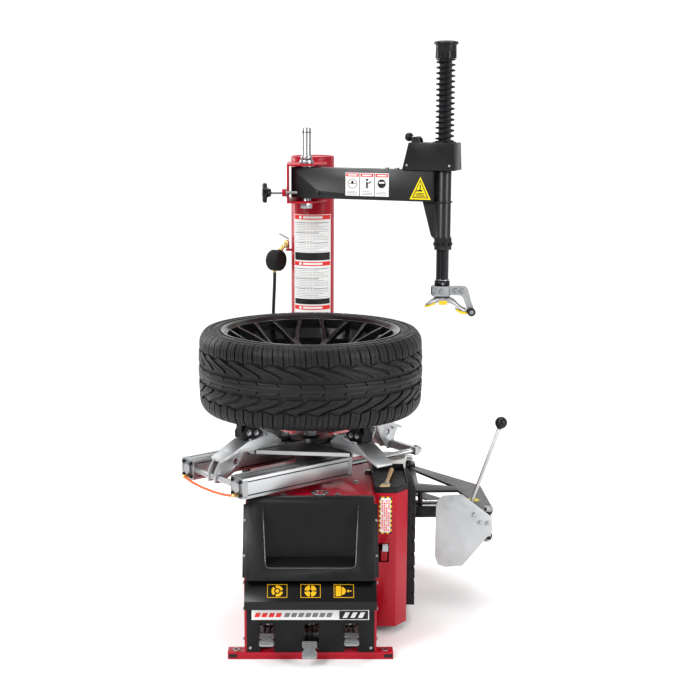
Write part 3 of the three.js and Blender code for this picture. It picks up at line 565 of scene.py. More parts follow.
def add_tire():
    """The carcass with its cavity, the tread's blocks row by row, and the sidewalls' raised marks."""
    tire = Shape()
    half = [(-106, 281.8), (-123.4, 281.8), (-123.4, 297.8), (-128, 299), (-131, 304), (-130, 309),
            (-132, 314), (-132, 326), (-129.5, 330), (-130.5, 338), (-129.5, 344), (-125, 352), (-112, 359),
            (-92, 362), (-40, 364)]
    cavity = [(108, 296), (114, 330), (104, 346), (76, 356), (-76, 356), (-104, 346), (-114, 330),
              (-108, 296)]
    add_wheel_section(tire, half + [(-z, r) for z, r in reversed(half)] + cavity, TIRE, smooth=True)
    circumference = 2 * math.pi * TIRE_RADIUS
    step = circumference / SHOULDER_BLOCKS
    long_step = circumference / MID_BLOCKS
    for side in (-1, 1):
        for i in range(SHOULDER_BLOCKS):
            # Shoulder blocks wrap over the edge, lean a little, and meet the mid row in a zigzag.
            left, right = i * step + 2.4, (i + 1) * step - 2.4
            z_left, z_right = (82, 73) if i % 2 == 0 else (73, 82)
            middle = (left + right) / 2
            z_middle = (z_left + z_right) / 2
            for a, b, za, zb in ((left, middle - 0.3, z_left, z_middle),
                                 (middle + 0.3, right, z_middle, z_right)):
                edges = [between((a + 5, side * za), (a, side * 131)),
                         between((b + 5, side * zb), (b, side * 131))]
                tread_block(tire, edges, 7)
        for i in range(MID_BLOCKS):
            # One long swept block spans two shoulder blocks; a sipe splits it.
            start = i * long_step + 5
            left = swept(start + 8.5, 76, 31, side)
            right = swept(start + long_step - 8.5, 76, 31, side)
            centre = start + long_step / 2
            tread_block(tire, [left, swept(centre - 0.4, 67, 31, side)], 5)
            tread_block(tire, [swept(centre + 0.4, 67, 31, side), right], 5)
            # Notched edge of the centre rib.
            a = i * long_step + 20
            b = a + long_step - 4.5
            tread_block(tire, [between((a, side * 19), (a + 9, side * 8)),
                               between((b, side * 19), (b + 9, side * 8))], 2)
    tire.ring((0, 0, WHEEL_Z - 8.5), (0, 0, WHEEL_Z + 8.5), TIRE_RADIUS - 0.2, TIRE_RADIUS - 8, TIRE, 180)
    # Raised rings and a ribbed band on both sidewalls.
    for side in (-1, 1):
        z = WHEEL_Z + side * 131.2
        for radius in (311, 333):
            tire.ring((0, 0, z - 1.2), (0, 0, z + 1.2), radius + 1.3, radius - 1.3, TIRE, 144)
        for i in range(SIDEWALL_RIBS):
            if (i // 12) % 2:
                tire.local = moved(0, 0, 0, around(i, SIDEWALL_RIBS))
                tire.box((316, -1.3, z - 0.9), (325, 1.3, z + 1.3), TIRE)
        tire.local = ROOM
    tire.piece("tire_with_tread", "wheel", replaces=["tire"])


def beam(shape, stations, material):
    """A tapering bar; each station is (centre, half width across, half height, direction across)."""
    rings = []
    for centre, width, height, across in stations:
        centre, across = Vector(centre), Vector(across).normalized()
        up = Vector((0, 0, 1))
        rings.append([centre - across * width - up * height, centre + across * width - up * height,
                      centre + across * width * 0.72 + up * height,
                      centre - across * width * 0.72 + up * height])
    shape.add(rings, material)


def add_rim():
    """A black barrel whose bevelled edges carry a lighter grey as a painted highlight, ten forked spokes, a
    hub and five bolt seats.
    """
    rim = Shape()
    w = TIRE_HALF
    outside = [(-w, 297), (-w + 6, 297), (-w + 7.5, 282), (-106, 280), (-88, 279), (-58, 262), (58, 262),
               (88, 279), (106, 280), (w - 7.5, 282), (w - 6, 297), (w, 297)]
    inside = [(w + 0.5, 293), (w - 3, 286), (w - 12, 274.5), (88, 273.5), (56, 256), (-54, 256),
              (-88, 273.5), (-w + 12, 274.5), (-w + 3, 286), (-w - 0.5, 293)]
    add_wheel_section(rim, outside + inside, RIM, smooth=False)
    rim.ring((0, 0, WHEEL_Z + 6), (0, 0, WHEEL_Z + 44), 84, 33, RIM, 64)
    rim.ring((0, 0, WHEEL_Z + 40), (0, 0, WHEEL_Z + 50), 46, 32, RIM, 48)
    spokes = 10
    fork = 0.17                          # radians from a spoke's middle line to each of its two tips
    for i in range(spokes):
        rim.local = moved(0, 0, WHEEL_Z, around(i, spokes))
        beam(rim, [((70, 0, 26), 17, 14, (0, 1, 0)), ((150, 0, 49), 13, 11, (0, 1, 0)),
                   ((182, 0, 60), 17, 10, (0, 1, 0))], RIM)
        for side in (-1, 1):
            tip = Vector((264 * math.cos(fork * side), 264 * math.sin(fork * side), 104))
            across = Vector((-math.sin(fork * side), math.cos(fork * side), 0))
            beam(rim, [((168, side * 6, 56), 9, 9, (0, 1, 0)), ((215, side * 23, 82), 7.5, 9, (0, 1, 0)),
                       (tip, 8.5, 11, across), (tip * 1.035, 10, 13, across)], RIM)
    # Wheel bolt seats between the spokes' roots.
    for i in range(5):
        rim.local = moved(0, 0, WHEEL_Z, around(i + 0.5, 5))
        rim.ring((57, 0, 40), (57, 0, 46.5), 12, 7.5, RIM, 24)
    rim.local = ROOM
    # The bevel faces take the lighter grey of slot 1: a painted highlight along the rim's edges.
    rim.materials.append(RIM_HIGHLIGHT)
    thing = rim.piece("wheel_rim_with_spokes", "wheel", bevel=1.4, replaces=["wheel_rim"])
    thing.modifiers["edges"].material = 1


def add_hose():
    """A smooth curve through the route, from the gauge to the air unit's port."""
    curve = bpy.data.curves.new("inflator_hose_line", "CURVE")
    curve.dimensions = "3D"
    spline = curve.splines.new("NURBS")
    spline.points.add(len(HOSE_ROUTE) - 1)
    for point, place in zip(spline.points, HOSE_ROUTE):
        point.co = (*at(*place), 1)
    spline.order_u = 4
    spline.use_endpoint_u = True
    curve.bevel_depth = 0.006
    curve.bevel_resolution = 5
    curve.resolution_u = 6
    curve.materials.append(HOSE)
    hose = bpy.data.objects.new("inflator_hose_line", curve)
    bpy.context.collection.objects.link(hose)
    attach(hose, "base")
    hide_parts("inflator_hose")


# ---- Base: console trim, pedals, labels, fasteners -----------------------------------------------

CONSOLE_LOW = Vector((0, -466, 268))      # the console's face runs from here ...
CONSOLE_HIGH = Vector((0, -336, 491))     # ... to here
SLOPE = (CONSOLE_HIGH - CONSOLE_LOW).normalized()
SLOPE_OUT = Vector((0, -SLOPE.z, SLOPE.y))


def flange_place(x, z):
    """A place on the console's side flange, which lies in the cabinet's sloping face."""
    low, high = Vector((0, -443, 270)), Vector((0, -329, 474))
    share = (z - low.z) / (high.z - low.z)
    place = low.lerp(high, share)
    return Vector((x, place.y, z))


def add_console_trim():
    """The console's screws and the raised lip round its pocket."""
    trim = Shape()
    for x in (-206, 206):
        for z in (330, 428):
            trim.screw(flange_place(x, z), SLOPE_OUT, 4.6, STEEL)
    for x in (-189, 189):
        trim.screw((x, -439.6, 38), (0, -1, 0), 5, STEEL)
    trim.piece("console_screws", "base")
    # A soft raised lip follows the pocket's mouth on the sloping face; its grey, lighter than the console's,
    # is a painted highlight.
    lip = Shape()

    def on_face(x, z, proud=0.6):
        """A place on the console's sloping face, lifted off it by proud."""
        share = (z - CONSOLE_LOW.z) / (CONSOLE_HIGH.z - CONSOLE_LOW.z)
        return CONSOLE_LOW.lerp(CONSOLE_HIGH, share) + Vector((x, 0, 0)) + SLOPE_OUT * proud

    corner = 10
    path = [on_face(-150.5, 474), on_face(-147, 420), on_face(-143, 360),
            on_face(-140.5, 305 + corner * 1.2), on_face(-137.5, 306), on_face(-129, 302.5)]
    path += [on_face(x, 302) for x in range(-110, 120, 20)]
    path += [on_face(129, 302.5), on_face(137.5, 306), on_face(140.5, 305 + corner * 1.2),
             on_face(143, 360), on_face(147, 420), on_face(150.5, 474)]
    lip.tube(path, 1.8, LIP_HIGHLIGHT, 10)
    lip.piece("console_lip", "base")


def add_hood_signs():
    """Three yellow outline signs over the pedals: turning, clamping and bead breaking, in plain shapes."""
    signs = Shape()
    low, high = Vector((0, -488, 208)), Vector((0, -440.3, 261))
    middle = low.lerp(high, 0.5)
    up = (high - low).normalized()
    out = Vector((0, -up.z, up.y))

    def sector(centre, outer, inner, start, end, steps=12):
        """Part of a flat ring between two angles; inner 0 gives a pie slice."""
        angles = [start + (end - start) * i / steps for i in range(steps + 1)]
        ring = [(outer * math.cos(a), outer * math.sin(a)) for a in angles]
        ring += [(inner * math.cos(a), inner * math.sin(a)) for a in reversed(angles)] if inner else []
        patch([(centre[0] + u, centre[1] + v) for u, v in ring])

    def patch(outline, proud=0.9):
        """A thin vinyl shape; u runs to the right and v up the hood's face."""
        rings = [[middle + Vector((u, 0, 0)) + up * v + out * d for u, v in outline] for d in (0.1, proud)]
        signs.add(rings, AMBER)

    def bar(u0, v0, u1, v1, proud=0.9):
        """A thin rectangle between two corners."""
        patch([(u0, v0), (u1, v0), (u1, v1), (u0, v1)], proud)

    for centre in (-103, 0, 103):
        w, h, t = 31, 22, 1.6
        bar(centre - w, -h, centre + w, -h + t)
        bar(centre - w, h - t, centre + w, h)
        bar(centre - w, -h + t, centre - w + t, h - t)
        bar(centre + w - t, -h + t, centre + w, h - t)
    for k in range(3):
        sector((-103, 0), 18, 10, 2.1 * k + 0.2, 2.1 * k + 1.9)
    sector((-103, 0), 6, 0, 0, math.radians(345))
    for k in range(4):
        sector((0, 0), 19, 5, math.pi / 2 * k + 0.16, math.pi / 2 * (k + 1) - 0.16)
    bar(78, -17, 94, 17)
    sector((96, 0), 13, 0, -math.pi / 2, math.pi / 2)
    bar(117, -1.5, 127, 1.5)
    patch([(111, 0), (118, -5), (118, 5)])
    signs.piece("hood_signs", "base")


def add_panel_band():
    """The white band under the hood carries a stripe, a row of bars and a dark end block, and no words."""
    band = Shape()
    y = -439.6
    band.box((-184, y - 0.8, 131), (183, y, 163), LABEL_WHITE)
    band.box((90, y - 1.1, 133), (180, y - 0.7, 161), PRINT_AND_SHADE_BLACK)

    def slanted(x, z, width, height, lean, near, far, material):
        """A block that leans to the right and lies between two layers above the band."""
        corners = ((0, 0), (width, 0), (width, height), (0, height))
        rings = [[(x + dx + dz * lean, y - d, z + dz) for dx, dz in corners] for d in (near, far)]
        band.add(rings, material)

    for first, count, material in ((-176, 4, LABEL_RED), (-84, 7, LABEL_GREY)):
        for k in range(count):
            slanted(first + 22 * k, 140, 16, 14, 0.4, 0.7, 1.1, material)
    for k in range(3):
        slanted(100 + 24 * k, 138, 14, 18, 0.5, 1.0, 1.4, LABEL_WHITE)
    band.piece("panel_band", "base")


def add_pedal(name, body, node, x, pad_from, pad_to):
    """A bent steel arm with a fork at the pin and a waisted foot plate with a rolled front."""
    pin_y, pin_z = -330, 78
    pedal = Shape()
    for side in (-1, 1):
        cheek = [(pin_y + 14, pin_z - 12), (pin_y + 14, pin_z + 12), (pin_y - 6, pin_z + 17),
                 (pad_from[0] + 16, pad_from[1] + 2), (pad_from[0] - 2, pad_from[1] - 4),
                 (pad_from[0] + 4, pad_from[1] - 20), (pin_y - 12, pin_z - 14)]
        pedal.slab_x(cheek, x + side * 6, x + side * 10, DARK_STEEL)
    pedal.ring((x - 17, pin_y, pin_z), (x + 17, pin_y, pin_z), 15, 8.4, STEEL, 32)
    along = (Vector((0, *pad_to)) - Vector((0, *pad_from))).normalized()
    up = Vector((0, -along.z, along.y))
    up = up if up.z > 0 else -up
    length = (Vector((0, *pad_to)) - Vector((0, *pad_from))).length
    start = Vector((x, *pad_from)) - up * 2
    widths = [(0.0, 22), (0.08, 23), (0.3, 23), (0.42, 17.5), (0.52, 17.5), (0.64, 23), (0.93, 23),
              (1.0, 19)]
    rings = []
    for share, half in widths:
        centre = start + along * (length * share)
        dip = 3.0 * (share > 0.95)
        rings.append([centre + Vector((-half, 0, 0)) - up * (6 + dip),
                      centre + Vector((half, 0, 0)) - up * (6 + dip),
                      centre + Vector((half, 0, 0)) - up * dip, centre + Vector((-half, 0, 0)) - up * dip])
    pedal.add(rings, STEEL)
    # Grip ribs across the plate.
    for k in range(7):
        share = 0.12 + 0.115 * k
        half = 15.5 if 0.36 < share < 0.6 else 19.5
        centre = start + along * (length * share)
        pedal.bar(centre + Vector((-half, 0, 0)), centre + Vector((half, 0, 0)), 1.5, STEEL, 10)
    pedal.bolt(Vector((x + 17, pin_y, pin_z)), (1, 0, 0), 5)
    pedal.piece(name, body, bevel=0.7, replaces=[node])


def add_locker_label():
    """A hazard label: a dashed yellow and black border round a white field with red lines."""
    label = Shape()
    y = -225
    x0, x1, z0, z1 = 222, 263, 342, 466
    label.box((x0, y - 0.5, z0), (x1, y, z1), YELLOW)
    label.box((x0 + 4.5, y - 0.8, z0 + 4.5), (x1 - 4.5, y - 0.3, z1 - 4.5), LABEL_WHITE)
    dash = 8
    for k in range(int((z1 - z0) / dash / 2) + 1):
        z = z0 + 2 * dash * k
        for left in (x0, x1 - 4.5):
            label.box((left, y - 0.8, z), (left + 4.5, y - 0.4, min(z + dash, z1)), PRINT_AND_SHADE_BLACK)
    for k in range(3):
        x = x0 + 2 * dash * k
        for low in (z0, z1 - 4.5):
            label.box((x, y - 0.8, low), (min(x + dash, x1), y - 0.4, low + 4.5), PRINT_AND_SHADE_BLACK)
    for column in range(4):
        u0 = x0 + 8 + 7.2 * column
        for k in range(13):
            v0 = z0 + 9 + 8.2 * k
            if (k * 5 + column * 3) % 7:
                outline = ((u0, v0), (u0 + 4, v0), (u0 + 4, v0 + 6), (u0, v0 + 6))
                label.add([[(u, y - d, v) for u, v in outline] for d in (0.7, 1.0)], LABEL_RED)
    label.piece("locker_label", "base")


CABINET_TOP = 482


def add_cabinet_bolts():
    """Bolts, a ring and the turntable shaft's flange on the cabinet's top, and washers on the feet."""
    hardware = Shape()
    top = CABINET_TOP
    for x, y, size in ((87, -268, 10), (-86, -268, 10), (150, -120, 10), (-150, -120, 10), (195, 8, 12),
                       (-180, 250, 10), (180, 250, 10)):
        hardware.bolt((x, y, top), (0, 0, 1), size)
    hardware.ring((30, -236, top), (30, -236, top + 4), 30, 17, STEEL, 40)
    hardware.ring((0, 0, top), (0, 0, top + 6), 84, 62, CAST_IRON, 64)
    for k in range(6):
        angle = around(k + 0.5, 6)
        hardware.bolt((73 * math.cos(angle), 73 * math.sin(angle), top + 6), (0, 0, 1), 8, DARK_STEEL,
                      washer=False)
    for x in (-82, 98):
        for y in (447, 603):
            hardware.bolt((x, y, top + 12.4), (0, 0, 1), 12)
    for x in (-233, 233):
        for y in (-417, 599):
            hardware.ring((x, y, 23), (x, y, 25), 13, 6.5, STEEL, 28)
    hardware.piece("cabinet_bolts", "base", bevel=0.4)


def add_foot_slot_shade():
    """Black patches in the front foot's face, painted as the shade inside its slot mouths."""
    dark = Shape()
    # Painted shade: a black patch where each slot's mouth is dark.
    for x in (-244, 244):
        dark.box((x - 13, -440.6, 6), (x + 13, -440, 17), PRINT_AND_SHADE_BLACK)
    dark.piece("foot_slot_shade", "base")


def add_cabinet_seams_and_louvre_shade():
    """Folded seams of the sheet cabinet, and black strips in its left side painted as the shade inside the
    louvres.
    """
    strips_with_shade = Shape()
    for side in (-1, 1):
        x = side * 206
        strips_with_shade.box((min(x, x + side * 1.4), -430, 28), (max(x, x + side * 1.4), -405, 258), RED)
        strips_with_shade.box((min(x, x + side * 1.4), 590, 28), (max(x, x + side * 1.4), 616, 476), RED)
    # Painted shade: black strips where the louvres' slots are dark.
    for k in range(7):
        z = 70 + 30 * k
        strips_with_shade.box((-206.6, -60, z), (-206, 60, z + 10), PRINT_AND_SHADE_BLACK)
    strips_with_shade.piece("cabinet_seams_and_louvre_shade", "base", bevel=0.4)


def add_cabinet_side_screws():
    """Hex screws along both folded seams of each side."""
    screws = Shape()
    for side in (-1, 1):
        for y, heights in ((-417, (60, 160, 245)), (603, (60, 260, 450))):
            for z in heights:
                screws.bolt((side * 207.4, y, z), (side, 0, 0), 5, STEEL)
    screws.piece("cabinet_side_screws", "base")


# ---- Turntable: plate edge, slides, clamping cylinders -------------------------------------------

SLIDE_TOP = [(150, 630.4), (185, 656.4), (285, 642.4), (347, 612.4)]


def on_slide(u, lateral=0.0, proud=0.0):
    """A point on a slide's sloping top, u out from the axis."""
    for (u0, z0), (u1, z1) in zip(SLIDE_TOP, SLIDE_TOP[1:]):
        if u <= u1:
            return Vector((u, lateral, z0 + (z1 - z0) * (u - u0) / (u1 - u0) + proud))
    return Vector((u, lateral, SLIDE_TOP[-1][1] + proud))


def add_slides_and_claws():
    """Each slide's bolts and guide strips, and its stepped claw with teeth."""
    for i, angle in enumerate(SLIDE_ANGLES, 1):
        slide = Shape(moved(0, 0, 0, angle))
        for lateral in (-29, 29):
            slide.bolt(on_slide(212, lateral), (0.14, 0, 1), 8, STEEL)
            slide.bolt(on_slide(268, lateral), (0.14, 0, 1), 8, STEEL)
        # A guide strip on each flank.
        for lateral in (-36, 36):
            outer = lateral + math.copysign(1.6, lateral)
            slide.slab_y([(165, 614), (165, 622), (320, 622), (330, 614)], lateral, outer, SLIDE_STEEL)
        slide.piece(f"slide_bolts_{i}", f"jaw_{i}", bevel=0.4)
        claw = Shape(moved(0, 0, 0, angle))
        web = [(218, 657), (284, 644), (294, 652), (294, 713.5), (271.5, 713.5), (271.5, 738), (258, 738),
               (238, 690), (218, 668)]
        claw.slab_y(web, -14, 14, DARK_STEEL)
        cheek = [(215, 656.2), (284, 643.8), (295, 652), (295, 672), (282, 690), (276, 713.5),
                 (271.5, 713.5), (271.5, 733), (262, 733), (240, 684), (215, 666)]
        for side in (-1, 1):
            claw.slab_y(cheek, side * 14, side * 22, DARK_STEEL)
            claw.bolt((240, side * 22, 664), (0, side, 0), 8, STEEL)
            claw.bolt((270, side * 22, 668), (0, side, 0), 8, STEEL)
        for k in range(5):
            z = 712 + 5 * k
            claw.slab_y([(271, z), (273.4, z + 1.2), (271, z + 3.6)], -21, 21, DARK_STEEL)
        claw.piece(f"claw_with_teeth_{i}", f"jaw_{i}", bevel=1.0, replaces=[f"jaw_claw_{i}"])


def add_cheek_bolts():
    """Bolts and rings on the hanging cheeks of slides 1 and 3, which carry the clamping cylinders."""
    for i, hole_u, bar_u in ((1, 322, 388), (3, 322, 342)):
        cheeks = Shape(moved(0, 0, 0, SLIDE_ANGLES[i - 1]))
        for lateral, way in ((-22, -1), (22, 1)):
            cheeks.bolt((bar_u, lateral, 536), (0, way, 0), 12)
            cheeks.ring((hole_u, lateral, 582), (hole_u, lateral + way * 1.5, 582), 14, 11, SLIDE_STEEL, 28)
            cheeks.bolt((350, lateral, 596), (0, way, 0), 7)
        cheeks.piece(f"cheek_bolts_{i}", f"jaw_{i}", bevel=0.3)


def add_plate_edge():
    """The plate's machined rim, a bright strip along each straight side, and its hub with screws."""
    half, corner, z0, z1 = 207, 154, 599, 611
    outline = [(half, -corner), (half, corner), (corner, half), (-corner, half), (-half, corner),
               (-half, -corner), (-corner, -half), (corner, -half)]
    plate = Shape(TABLE)
    for k in range(0, 8, 2):
        a, b = Vector((*outline[k], 0)), Vector((*outline[(k + 1) % 8], 0))
        along = (b - a).normalized()
        out = Vector((along.y, -along.x, 0))
        corners = [a + along * 2, b - along * 2]
        ring = [corners[0] - out * 0.2, corners[0] + out * 0.5, corners[1] + out * 0.5,
                corners[1] - out * 0.2]
        plate.add([[p + Vector((0, 0, z)) for p in ring] for z in (z0, z1)], SLIDE_STEEL)
    plate.bar((0, 0, 612), (0, 0, 617), 30, DARK_STEEL, 48)
    plate.bolt((0, 0, 617), (0, 0, 1), 20, STEEL)
    # Four screws hold the plate to its shaft; they sit between the slides, clear of them when the jaws close.
    for k in range(4):
        angle = math.pi / 2 * k
        plate.bolt((84 * math.cos(angle), 84 * math.sin(angle), 612), (0, 0, 1), 12)
    plate.piece("plate_edge", "turntable", bevel=0.4)


def add_clamping_cylinders():
    """Cast end caps with bosses, black strips painted as the shade in the extrusions' slots, fittings and the
    air tubes.
    """
    cylinder_frame = moved(0, 0, 0, CYLINDER_ANGLE)
    caps = Shape(cylinder_frame)
    strips_with_shade = Shape(cylinder_frame)
    fittings = Shape(cylinder_frame)
    socket_head = [(0, 6.2), (4, 6.2), (5, 5.2), (5, 3.2), (1.5, 3)]
    for side in (-1, 1):
        y = side * 140
        for u0, u1 in ((-402, -384), (22, 38)):
            h = 34.6
            c = 9
            section = [(y - h, -h + c), (y - h, h - c), (y - h + c, h), (y + h - c, h), (y + h, h - c),
                       (y + h, -h + c), (y + h - c, -h), (y - h + c, -h)]
            caps.add([[(u, a, CYLINDER_Z + b) for a, b in section] for u in (u0, u1)], CAST_ALUMINIUM)
        for a in (-22, 22):
            for b in (-22, 22):
                for seat, top in ((-402, -410), (38, 46)):
                    caps.turned((seat, y + a, CYLINDER_Z + b), (top, y + a, CYLINDER_Z + b), socket_head,
                                DARK_STEEL, 20)
        caps.bar((-402, y, CYLINDER_Z), (-407, y, CYLINDER_Z), 17, CAST_ALUMINIUM, 32)
        caps.ring((38, y, CYLINDER_Z), (44, y, CYLINDER_Z), 17, 9.6, CAST_ALUMINIUM, 32)
        # Painted shade: black strips where the extruded profile's slots are, one pair on each face.
        for b in (33, -33):
            for a in (-16, 16):
                strips_with_shade.box((-383, y + a - 1.7, CYLINDER_Z + b - 0.5),
                          (21, y + a + 1.7, CYLINDER_Z + b + 0.5), PRINT_AND_SHADE_BLACK)
        for b in (-22, 22):
            for a in (-33, 33):
                strips_with_shade.box((-383, y + a - 0.5, CYLINDER_Z + b - 1.9),
                          (21, y + a + 0.5, CYLINDER_Z + b + 1.9), PRINT_AND_SHADE_BLACK)
        fittings.turned((-402, y, 512), (-416, y, 512), [(0, 6.5), (5, 6.5), (5, 5), (14, 5)], BRASS, 6,
                        smooth=False)
        fittings.ball((-416, y, 512), 6.4, BRASS, 20)
        fittings.turned((30, y, 570.6), (30, y, 590), [(0, 8), (6, 8), (6, 5.5), (13, 5.5)], BRASS, 6,
                        smooth=False)
        fittings.bar((30, y, 577), (54, y, 577), 4.4, BLUE, 16)
    fittings.tube([(-416, -140, 512), (-417, -120, 508), (-418, -80, 503), (-418, -30, 500),
                   (-418, 30, 500), (-418, 80, 503), (-417, 120, 508), (-416, 140, 512)], 4.2, ORANGE, 14)
    caps.piece("cylinder_caps", "jaw_1", bevel=1.2)
    strips_with_shade.piece("cylinder_slot_shade", "jaw_1")
    fittings.piece("cylinder_fittings", "jaw_1")
    nuts = Shape(cylinder_frame)
    for side in (-1, 1):
        nuts.bolt((350, side * 140, CYLINDER_Z), (1, 0, 0), 15, STEEL)
        nuts.bolt((334, side * 140, CYLINDER_Z), (-1, 0, 0), 13, STEEL, washer=False)
    nuts.piece("rod_nuts", "jaw_3", bevel=0.3)


# ---- Bead breaker --------------------------------------------------------------------------------


def add_breaker_details():
    """The blade's lever with its ball, the ribs and bolts of the blade, and the bolts of hinge and pivot."""
    lever = Shape()
    lever.bar((524, -125.6, 396), (619, -125.6, 676), 6, BLADE_ALUMINIUM, 28)
    lever.bar((519, -125.6, 380), (526, -125.6, 402), 9, STEEL, 28)
    lever.ball((623, -125.6, 688), 20, PLASTIC, 36)
    lever.bar((616, -125.6, 668), (619.5, -125.6, 677), 9, PLASTIC, 28)
    lever.piece("blade_lever_with_ball", "bead_blade", replaces=["blade_lever"])
    blade = Shape()
    # Stiffening ribs behind the blade and the bolts of its hinge plate.
    for x0, z0, x1, z1 in ((452, 214, 470, 436), (500, 212, 548, 396)):
        blade.bar((x0, -131, z0 + 8), (x1, -131, z1 - 8), 3.2, BLADE_ALUMINIUM, 16)
    for x, z in ((560, 352), (585, 350), (540, 380)):
        blade.bolt((x, -140, z), (0, -1, 0), 7, STEEL)
    blade.piece("blade_bolts", "bead_blade", bevel=0.3)
    hinge = Shape()
    hinge.bolt((588, -108, 384.4), (0, 0, 1), 16, STEEL)
    hinge.bolt((588, -108, 288), (0, 0, -1), 12, STEEL)
    hinge.piece("hinge_bolts", "bead_arm", bevel=0.4)
    pivot = Shape()
    pivot.bolt((360, 440, 412), (0, 0, 1), 18, STEEL)
    for z in (285, 390):
        pivot.bolt((222, 410, z), (0, -1, 0), 9, STEEL)
    pivot.piece("breaker_pivot_bolts", "base", bevel=0.4)


def add_breaker_sticker():
    """A yellow warning strip on the breaker arm's top plate, near its tip."""
    sticker = Shape()
    pivot, tip = Vector((360, 440, 385)), Vector((588, -108, 385))
    along = (tip - pivot).normalized()
    across = Vector((-along.y, along.x, 0))
    centre = pivot.lerp(tip, 0.79)

    def patch(u0, u1, v0, v1, d, material):
        """A thin rectangle along (u) and across (v) the arm, d thick."""
        ring = [centre + along * u + across * v for u, v in ((u0, v0), (u1, v0), (u1, v1), (u0, v1))]
        sticker.add([[p + Vector((0, 0, z)) for p in ring] for z in (0.0, d)], material)

    patch(-17, 17, -30, 30, 0.7, YELLOW)
    patch(-12, 12, -26, -8, 0.9, PRINT_AND_SHADE_BLACK)
    for k in range(3):
        patch(-11 + 8 * k, -7 + 8 * k, -3, 26, 0.9, PRINT_AND_SHADE_BLACK)
    sticker.piece("breaker_sticker", "bead_arm")


# ---- Locker: brush, bucket, lever, pad -----------------------------------------------------------


def add_brush():
    """A flat soap brush: straw bristles, a pressed ferrule and a turned wooden handle."""
    brush = Shape()
    tip, neck, end = Vector((237, -214, 487.5)), Vector((245.5, -172, 490)), Vector((276, 20, 491))
    along = (neck - tip).normalized()
    side = Vector((along.y, -along.x, 0)).normalized()
    for i in range(-5, 6):
        # The bristles fan out sideways and rise a little towards both edges.
        for j in range(-1, 2):
            root = neck + side * (2.2 * i) + Vector((0, 0, 3 * j))
            bristle_end = tip + side * (3.3 * i) + Vector((0, 0, 3.4 * j + abs(i) * 0.1))
            brush.bar(root, bristle_end, 2.1, BRISTLE, 7)
    brush.add([[neck + along * d + side * (w * math.cos(a)) + Vector((0, 0, 7.4 * math.sin(a)))
                for a in (around(k, 24) for k in range(24))]
               for d, w in ((-8, 15), (-6, 15.6), (6, 15.6), (9, 14), (12, 9))], STEEL, smooth=True)
    handle = [(0, 6), (4, 7.4), (10, 7.4), (60, 5.8), (120, 6.8), (168, 8), (182, 6.6), (185, 3)]
    brush.turned(neck + along * 8, end, handle, WOOD, 28)
    brush.piece("soap_brush_wooden", "base", replaces=["soap_brush"])


def add_bucket():
    """A paste bucket with rolled rim, two stacking rings and a wire bail that hangs down at one side."""
    bucket = Shape()
    x, y = 271, 163
    outside = [(0, 53.4), (3, 54), (40, 57.3), (41, 59), (46, 59.4), (47, 58), (104, 61.9), (105, 63.6),
               (112, 64), (113, 63.4), (117.4, 63.8), (120, 63.4), (121, 62)]
    inside = [(121, 60.5), (116, 60), (6, 51.4), (3, 49)]
    bucket.turned((x, y, 378), (x, y, 499), outside + inside, WHITE, 72)
    handle = []
    for k in range(25):
        angle = math.pi * k / 24
        handle.append((x + 63.5 * math.cos(angle), y + 64.242 * math.sin(angle),
                       492 - 58 * math.sin(angle)))
    bucket.tube(handle, 1.6, STEEL, 10)
    for side in (-1, 1):
        bucket.bar((x + side * 60, y, 492), (x + side * 65, y, 492), 5, WHITE, 20)
    bucket.piece("lubricant_bucket_with_bail", "base", replaces=["lubricant_bucket"])


def add_lever_grip():
    """The tire lever's red grip with three ribs, and its steel hook."""
    grip = Shape()
    shank = [(-256, 263), (-264, 300), (-270, 300), (-270, 288), (-262, 263)]
    grip.slab_x(shank, 227, 247, RED)
    for k in range(3):
        grip.slab_x([(y - 1.6, z) for y, z in shank], 229 + 6 * k, 232.5 + 6 * k, RED)
    grip.slab_x([(-262, 297), (-264, 316), (-268, 321), (-273, 318), (-273, 297)], 231, 250, STEEL)
    grip.piece("lever_grip", "lever", bevel=0.8)


def add_pad_screws():
    """Two columns of four screws through the bead pad."""
    pad = Shape()
    for k in range(4):
        z = 100 + 110 * k
        for y in (-100, 62):
            pad.ring((347.4, y, z), (348.6, y, z), 9, 5, RUBBER, 24)
            pad.turned((346.8, y, z), (349, y, z), [(0, 4.8), (1.2, 4.8), (1.4, 2.2), (0.6, 2)], STEEL, 18)
    pad.piece("pad_screws", "base")


# ---- Column, bracket, stop screw, inflator -------------------------------------------------------


def column_place(across, z, proud):
    """A place on the column's round front; across is measured round its skin."""
    reach = COLUMN_RADIUS + proud
    angle = across / COLUMN_RADIUS
    return Vector((COLUMN_X + reach * math.sin(angle), COLUMN_Y - reach * math.cos(angle), z))


